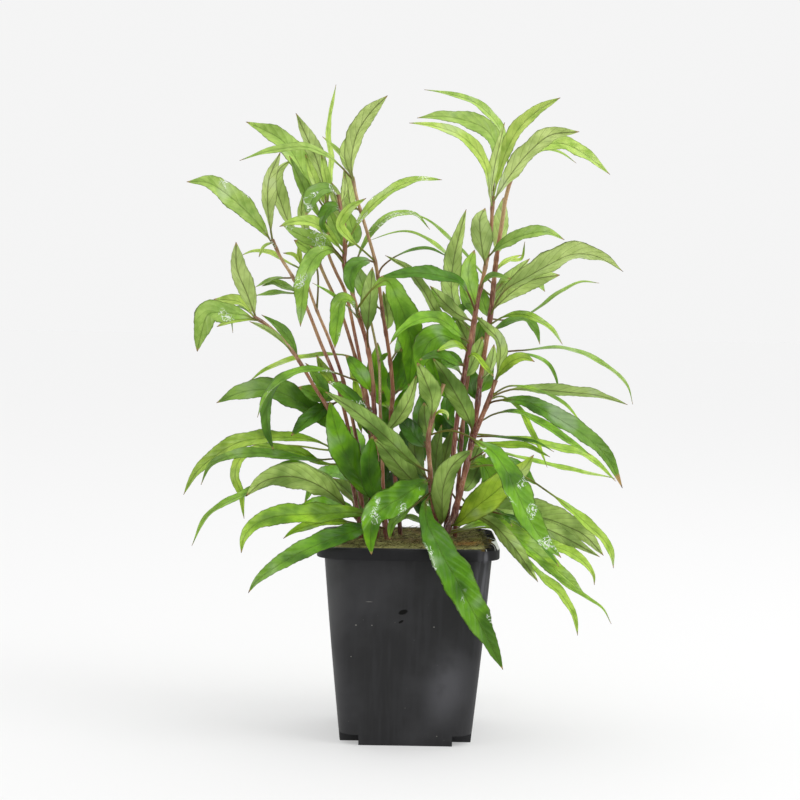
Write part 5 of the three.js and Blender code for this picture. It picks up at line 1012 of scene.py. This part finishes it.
STEP_ALONG_STEM = 1.5
FEWEST_STEPS = 6
JOINT_LENGTH = 1.8
JOINT_SWELLING = 0.28
GREEN_AT_TIP = {"left_8": 0.9, "left_7": 0.35, "left_4": 0.5, "left_5": 0.3, "right_1": 0.3}
LEAST_GREEN = 0.15
ROOTED = 3
FOOT_LIFT = 0.3
stem_lines = {}
for name, (foot, foot_radius, tip_radius, stem_places, *branches) in STEMS.items():
    foot = np.array([*foot, BLOCK_TOP + FOOT_LIFT]) * MM
    lines = [np.vstack([foot, seen(stem_places)])] + [seen(branch) for branch in branches]
    stem_lines[name] = lines
    rows = BIG_LEAVES.get(name, []) + SMALL_LEAVES[name]
    leaf_bases = [nearest_on(lines, seen(row[0][:1])[0]) for row in rows]
    curve = bpy.data.curves.new("stem_line_" + name, "CURVE")
    curve.dimensions = "3D"
    for number, line in enumerate(lines):
        if number == 0:
            line = np.vstack([line[0] - (0, 0, ROOTED * MM), line])
        length = np.linalg.norm(np.diff(line, axis=0), axis=1).sum()
        places = smooth_line(line, max(FEWEST_STEPS, int(length / (STEP_ALONG_STEM * MM))))[0]
        spline = curve.splines.new("POLY")
        spline.points.add(len(places) - 1)
        for point, place_now in zip(spline.points, places):
            near = min(np.linalg.norm(place_now - base_now) for base_now in leaf_bases)
            point.co = (*place_now, 1)
            point.radius = math.exp(-(near / (JOINT_LENGTH * MM)) ** 2)
    line_object = bpy.data.objects.new("stem_line_" + name, curve)
    stem = grow("stem_" + name, line_object, jointed, {
        "Foot Radius": foot_radius * MM, "Tip Radius": tip_radius * MM, "Joint Swelling": JOINT_SWELLING,
        "Green At Tip": GREEN_AT_TIP.get(name, LEAST_GREEN), "Finish": bark})
    bpy.data.objects.remove(line_object)
    stem.data.shade_smooth()
    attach(stem, "root")
    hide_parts("shoot_" + name)


# Leaves: thin living blades, lance-shaped, with a channelled midrib, side veins that run forward at a low
# angle and a waved edge with small blunt teeth. The upper skin is waxy and deep green, the underside pale
# and matt with its veins drawn dark. Old leaves are dark, young ones yellow-green.
VEIN_SPACING = 6.5
HEART_HEIGHT = 0.11


def leaf_skin(name, greens, pale, shadow, vein, veins_by, rib, ribs_by, roughness, sheen, lowered,
              wet=False):
    """A leaf-side material: colour by youth and painted light, ribs, red stalk, dry tip, relief and wetness.
    """
    material, tree = start_material(name)
    youth, dry, margin, stalk = [add(tree, "Attribute", attribute_name=key).outputs["Fac"]
                                 for key in ("youth", "dry", "margin", "stalk")]
    coordinates = add(tree, "TexCoord").outputs
    place = coordinates["Object"]
    # The UV map lies flat, in tenths of a metre: across from the midrib at 0.5 and along from the base.
    flat = add(tree, "SeparateXYZ", (coordinates["UV"],)).outputs
    across = add(tree, "Math", (flat["X"], 0.5), operation="SUBTRACT")
    across = add(tree, "Math", (across,), operation="ABSOLUTE")
    across = add(tree, "Math", (across, 100.0), operation="MULTIPLY")
    length = add(tree, "Math", (flat["Y"], 100.0), operation="MULTIPLY")
    forward = add(tree, "Math", (across, across), operation="MULTIPLY")
    forward = add(tree, "Math", (forward, -0.06, length), operation="MULTIPLY_ADD")
    forward = add(tree, "Math", (across, -1.9, forward), operation="MULTIPLY_ADD")
    # Side veins leave the midrib at an even spacing, sway a little and run forward to the edge.
    sway = add(tree, "TexNoise", (place, 120.0))
    cycle = add(tree, "Math", (sway, 2.4, forward), operation="MULTIPLY_ADD")
    cycle = add(tree, "Math", (cycle, 1 / VEIN_SPACING), operation="MULTIPLY")
    cycle = add(tree, "Math", (cycle,), operation="FRACT")
    cycle = add(tree, "Math", (cycle, 0.5), operation="SUBTRACT")
    cycle = add(tree, "Math", (cycle,), operation="ABSOLUTE")
    side_vein = add(tree, "MapRange", (cycle, 0.43, 0.5), **SMOOTH)
    sunk = add(tree, "MapRange", (cycle, 0.1, 0.5), **SMOOTH)
    midrib = add(tree, "MapRange", (across, 0.1, 0.42, 1.0, 0.0), **SMOOTH)
    # The cells of the skin are too fine to show, so its relief is drawn as patches of 5 mm and finer.
    mottle = add(tree, "TexNoise", (place, 210.0, 5.0))
    broad = add(tree, "TexNoise", (place, 35.0))
    age = add(tree, "Math", (broad, 0.5, -0.25), operation="MULTIPLY_ADD")
    age = add(tree, "Math", (youth, age), operation="ADD")
    # Painted light and shade: blades far from the heart of the plant are painted paler, old ones less, as
    #     # painted light shining through them, and those in its heart darker, as painted shade.
    out = add(tree, "Mapping", {
        "Vector": place, "Location": (0.0, 0.0, -HEART_HEIGHT), "Scale": (1.3, 1.0, 1.0)})
    out = add(tree, "VectorMath", (out,), operation="LENGTH")
    out = add(tree, "Math", (broad, 0.03, out), operation="MULTIPLY_ADD")
    shaded = add(tree, "MapRange", (out, 0.03, 0.085, 0.65, 0.0), **SMOOTH)
    paled = add(tree, "MapRange", (out, 0.075, 0.215, 0.0, 0.6), **SMOOTH)
    not_old = add(tree, "MapRange", (youth, -0.02, 0.14, 0.15, 1.0), **SMOOTH)
    paled = add(tree, "Math", (paled, not_old), operation="MULTIPLY")
    mottled = add(tree, "MapRange", (mottle, 0.35, 0.75, 0.0, 0.65), **SMOOTH)
    # Painted shade and sheen: soft patches of the blade are darkened, more so in the heart of the plant, and
    # others brightened with a pale painted sheen.
    moved = add(tree, "Mapping", {"Vector": place, "Location": (0.3, 0.1, 0.7)})
    shade_and_sheen_patches = add(tree, "TexNoise", (moved, 62.0, 1.5))
    patch_shade = add(tree, "MapRange", (shade_and_sheen_patches, 0.33, 0.55, 0.75, 0.0), **SMOOTH)
    inner = add(tree, "MapRange", (out, 0.1, 0.19, 1.0, 0.35), **SMOOTH)
    patch_shade = add(tree, "Math", (patch_shade, inner), operation="MULTIPLY")
    painted_sheen = add(tree, "MapRange", (shade_and_sheen_patches, 0.56, 0.76, 0.0, sheen), **SMOOTH)
    veined = add(tree, "Math", (side_vein, veins_by), operation="MULTIPLY")
    ribbed = add(tree, "Math", (midrib, ribs_by), operation="MULTIPLY")
    edged = add(tree, "MapRange", (margin, 0.84, 1.0), **SMOOTH)
    edged = add(tree, "Math", (edged, 0.5), operation="MULTIPLY")
    withered = add(tree, "MapRange", (dry, 1.0, 2.0), **SMOOTH)
    layers = ((shaded, "#7f8c58", "MULTIPLY"), (paled, pale, "MIX"), (mottled, shadow, "MULTIPLY"),
              (patch_shade, "#6f8a48", "MULTIPLY"), (painted_sheen, "#cfdcc6", "MIX"), (veined, vein, "MIX"),
              (ribbed, rib, "MIX"), (edged, "#4e5c1c", "MIX"), (stalk, "#70452f", "MIX"),
              (dry, "#b4965e", "MIX"), (withered, "#4e3018", "MIX"))
    colour = add(tree, "ValToRGB", (age,), tuple(zip((0.0, 0.45, 1.0), greens)))
    for mask, code, way in layers:
        colour = add(tree, "Mix", (mask, colour, code), data_type="RGBA", blend_type=way)
    height = add(tree, "Math", (sunk, 0.55, midrib), operation="MULTIPLY_ADD")
    height = add(tree, "Math", (mottle, 0.4, height), operation="MULTIPLY_ADD")
    gloss = add(tree, "Math", (mottle, 0.2, roughness - 0.1), operation="MULTIPLY_ADD")
    water = {}
    if wet:
        # Water lies on the blade in patches; white squiggles along their rims are painted glints in its
        # colour.
        pool = add(tree, "MapRange", (add(tree, "TexNoise", (place, 70.0, 1.0)), 0.57, 0.61), **SMOOTH)
        film = add(tree, "TexNoise", {"Vector": place, "Scale": 260.0, "Detail": 1.0, "Distortion": 1.8})
        rise = add(tree, "MapRange", (film, 0.49, 0.51), **SMOOTH)
        fall = add(tree, "MapRange", (film, 0.56, 0.58, 1.0, 0.0), **SMOOTH)
        wet_glint = add(tree, "Math", (rise, fall), operation="MULTIPLY")
        bright = add(tree, "Math", (pool, 0.85), operation="MULTIPLY")
        wet_glint = add(tree, "Math", (wet_glint, bright), operation="MULTIPLY")
        colour = add(tree, "Mix", (wet_glint, colour, "#eef5ea"), data_type="RGBA")
        beads = add(tree, "Math", (film, pool), operation="MULTIPLY")
        beads = add(tree, "Bump", {"Height": beads, "Strength": 1.0, "Distance": 0.0008})
        wetness = add(tree, "Math", (pool, 0.6), operation="MULTIPLY")
        water = {"Coat Weight": wetness, "Coat Roughness": 0.08, "Coat Normal": beads}
    surface(tree, colour, gloss, 0.2, height, 0.7, 0.0004, lowered, water)
    return material


TOP_GREENS = ("#4e8805", "#80be10", "#c6e644")
UNDER_GREENS = ("#94b858", "#aed06a", "#cdeb80")
upper = {"pale": "#d3e886", "shadow": "#b2cc84", "vein": "#4a7404", "veins_by": 0.3, "rib": "#4c6a0c",
         "ribs_by": 0.35, "roughness": 0.42, "sheen": 0.3, "lowered": True}
upper_skin = leaf_skin("waxed_upper_skin", TOP_GREENS, **upper)
wet_skin = leaf_skin("wet_upper_skin", TOP_GREENS, **upper, wet=True)
under_skin = leaf_skin("matt_underside_skin", UNDER_GREENS, pale="#dfee9c", shadow="#c6d0a4",
                       vein="#5e7030", veins_by=0.55, rib="#565a28", ribs_by=0.65, roughness=0.55,
                       sheen=0.3, lowered=False)

ACROSS = np.array([-1, -0.88, -0.62, -0.32, -0.08, 0, 0.08, 0.32, 0.62, 0.88, 1])
BLADE_STEP = 1.1
FEWEST_RINGS = 18
MOST_RINGS = 100
BLADE_TWIST = 0.12
BLADE_FULLNESS = 0.9
BLADE_THICKNESS = 0.32
STALK_HALF = 0.55
TIP_HALF = 0.08
EDGE_WAVE = 21
EDGE_RIPPLE = 12.5
TOOTH_SPACING = 3.8
TOOTH_DEPTH = 0.4
RUFFLE = 0.7
RUFFLE_WAVES = (17, 23)
CUPPING = 0.28
RIB_HALF = 0.5
RIB_GROOVE = 0.16
STALK_RIDGE = 0.25
KEEL = 0.2
STALK_KEEL = 0.4
RED_SHARE = 0.12
DRY_FADE = 1.2
DARK_TIP = 1.9
FLAT_SCALE = 100
LEAST_DRY = 0.6
DRY_TIPS = {"leaf_right_4_3": 7, "leaf_left_1_4": 2, "leaf_left_8_4": 1.5, "leaf_right_4_2": 1.5}
WET = {"leaf_right_1_1", "leaf_right_1_2", "leaf_right_1_3", "leaf_left_1_2", "leaf_left_2_1",
       "leaf_left_6_1", "leaf_left_6_2", "leaf_left_6_3", "leaf_left_7_2", "shoot_left_6"}


def blade_points(row, lines, seed, dry_length):
    """The vertices, faces and per-point values of one closed leaf, grown from the nearest stem."""
    points, width, base_turn, tip_turn, youth, stalk = row
    places = seen(points)
    places[0] = nearest_on(lines, places[0])
    rough_length = np.linalg.norm(np.diff(places, axis=0), axis=1).sum()
    count = int(np.clip(rough_length / (BLADE_STEP * MM), FEWEST_RINGS, MOST_RINGS))
    middle, ways, length = smooth_line(places, count)
    u = np.linspace(0, 1, count)
    blade_ways = ways[np.maximum(np.arange(count), int(round(stalk * (count - 1))))]
    to_eye = EYE - middle
    to_eye /= np.linalg.norm(to_eye, axis=1)[:, None]
    to_eye -= blade_ways * (to_eye * blade_ways).sum(1)[:, None]
    to_eye /= np.linalg.norm(to_eye, axis=1)[:, None]
    upward = np.cross(to_eye, blade_ways)
    upward *= 1 if np.cross(to_eye[count // 2], ways[count // 2])[2] >= 0 else -1
    chance = np.random.default_rng(seed)
    phase = chance.uniform(0, 2 * math.pi, 6)
    turn = np.radians(base_turn + (tip_turn - base_turn) * u)
    turn += BLADE_TWIST * np.sin(2.3 * math.pi * u + phase[0])
    normal = to_eye * np.sin(turn)[:, None] + upward * np.cos(turn)[:, None]
    normal -= ways * (normal * ways).sum(1)[:, None]
    normal /= np.linalg.norm(normal, axis=1)[:, None]
    side = np.cross(ways, normal)
    blade = np.clip((u - stalk) / (1 - stalk), 0, 1)
    mm_along = u * length / MM
    half = width / 2 * np.sin(math.pi * blade) ** BLADE_FULLNESS
    half = np.maximum(STALK_HALF * (1 - 0.8 * blade), half)
    half[-1] = TIP_HALF
    s = ACROSS[None, :]
    round_trip = 2 * math.pi * mm_along
    left, right = [1 + 0.05 * np.sin(round_trip / EDGE_WAVE + phase[i])
                   + 0.035 * np.sin(round_trip / EDGE_RIPPLE + phase[i + 1]) for i in (1, 3)]
    saw = (mm_along / TOOTH_SPACING + phase[1]) % 1
    tooth = TOOTH_DEPTH * (saw ** 2 - 0.35) * np.clip(half / 4 - 0.15, 0, 1)
    reach = half[:, None] * s * np.where(s < 0, left[:, None], right[:, None])
    reach = reach + np.sign(s) * (np.abs(s) > 0.99) * tooth[:, None]
    waves = [np.sin(round_trip / wave + phase[i])[:, None] for wave, i in zip(RUFFLE_WAVES, (2, 5))]
    ruffle = RUFFLE * np.clip(half / 6, 0, 1)[:, None] * np.where(s > 0, *waves) * np.abs(s) ** 2.2
    lift = CUPPING * half[:, None] * np.abs(s) ** 1.25 * (blade > 0)[:, None] + ruffle
    ridge = np.exp(-(s * half[:, None] / RIB_HALF) ** 2)
    thick = BLADE_THICKNESS * (1 - 0.55 * np.abs(s)) * np.minimum(1, half[:, None] / 1.2)
    stalky = np.clip(1 - blade * 1.4, 0, 1)[:, None]
    top = lift + thick / 2 + ridge * (STALK_RIDGE * stalky - RIB_GROOVE * (1 - stalky))
    under = lift - thick / 2 - ridge * (KEEL + STALK_KEEL * stalky) * (1 - 0.85 * u[:, None])
    edge = np.abs(s) > 0.99
    top = np.where(edge, lift, top)
    under = np.where(edge, lift, under)
    flat_points = middle[:, None] + side[:, None] * (reach * MM)[:, :, None]
    upper_points, under_points = [
        flat_points + normal[:, None] * (height * MM)[:, :, None] for height in (top, under)]
    columns = len(ACROSS)
    vertices = np.concatenate([upper_points.reshape(-1, 3), under_points[:, 1:-1].reshape(-1, 3)])
    first = np.arange(count * columns).reshape(count, columns)
    second = count * columns + np.arange(count * (columns - 2)).reshape(count, columns - 2)
    second = np.concatenate([first[:, :1], second, first[:, -1:]], 1)
    faces = []
    for grid, step in ((first, -1), (second, 1)):
        quads = np.stack([grid[:-1, :-1], grid[:-1, 1:], grid[1:, 1:], grid[1:, :-1]], -1)
        faces += quads.reshape(-1, 4)[:, ::step].tolist()
    for end, step in ((0, 1), (-1, -1)):
        loop = first[end].tolist() + second[end][1:-1][::-1].tolist()
        faces.append(loop[::step])
    from_tip = length / MM - mm_along
    red = np.clip(1 - (u - stalk) / RED_SHARE, 0, 1) * (0.85 - 0.5 * youth)
    dry = np.clip((dry_length - from_tip) / DRY_FADE + 0.5, 0, 1) + np.clip(DARK_TIP - from_tip, 0, 1)
    off_rib = np.maximum(np.abs(s * half[:, None]) - RIB_HALF, 0)
    grids = {
        "across": reach,
        "length": mm_along[:, None],
        "dry": dry[:, None],
        "margin": np.abs(s),
        "youth": youth + chance.uniform(-0.08, 0.08),
        "stalk": red[:, None] * np.exp(-(off_rib / RIB_HALF) ** 2)}
    values = {}
    for key, grid in grids.items():
        grid = np.broadcast_to(grid, (count, columns))
        values[key] = np.concatenate([grid.reshape(-1), grid[:, 1:-1].reshape(-1)])
    upper_faces = (count - 1) * (columns - 1)
    return vertices, faces, values, np.array([0] * upper_faces + [1] * (upper_faces + 2))


def blades(name, rows, lines, dry_length, materials):
    """One mesh object of closed leaves."""
    vertices, faces, sides, gathered, start = [], [], [], {}, 0
    for number, row in enumerate(rows):
        seed = sum(map(ord, name)) * 31 + number
        points, quads, values, which = blade_points(row, lines, seed, dry_length)
        vertices.append(points)
        faces += [[corner + start for corner in quad] for quad in quads]
        sides.append(which)
        for key, value in values.items():
            gathered.setdefault(key, []).append(value)
        start += len(points)
    mesh = bpy.data.meshes.new(name)
    mesh.from_pydata(np.concatenate(vertices).tolist(), [], faces)
    values = {key: np.concatenate(value) for key, value in gathered.items()}
    for key in ("youth", "dry", "margin", "stalk"):
        kept = mesh.attributes.new(key, "FLOAT", "POINT")
        kept.data.foreach_set("value", values[key].astype(np.float32))
    corner_of = np.empty(len(mesh.loops), np.int32)
    mesh.loops.foreach_get("vertex_index", corner_of)
    flat = [values["across"][corner_of] / FLAT_SCALE + 0.5, values["length"][corner_of] / FLAT_SCALE]
    flat = np.stack(flat, 1)
    mesh.uv_layers.new(name="flat").data.foreach_set("uv", flat.reshape(-1).astype(np.float32))
    for material in materials:
        mesh.materials.append(material)
    mesh.polygons.foreach_set("material_index", np.concatenate(sides).astype(np.int32))
    mesh.shade_smooth()
    return put(name, mesh)


for name, lines in stem_lines.items():
    for number, row in enumerate(BIG_LEAVES.get(name, []), 1):
        node = f"leaf_{name}_{number}"
        skin_now = wet_skin if node in WET else upper_skin
        dry_length = DRY_TIPS.get(node, LEAST_DRY)
        leaf = blades(f"blade_{name}_{number}", [row], lines, dry_length, [skin_now, under_skin])
        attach(leaf, "root")
        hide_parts(node)
    skin_now = wet_skin if "shoot_" + name in WET else upper_skin
    sprig = blades("small_leaves_" + name, SMALL_LEAVES[name], lines, LEAST_DRY, [skin_now, under_skin])
    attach(sprig, "root")
    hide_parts("shoot_" + name)
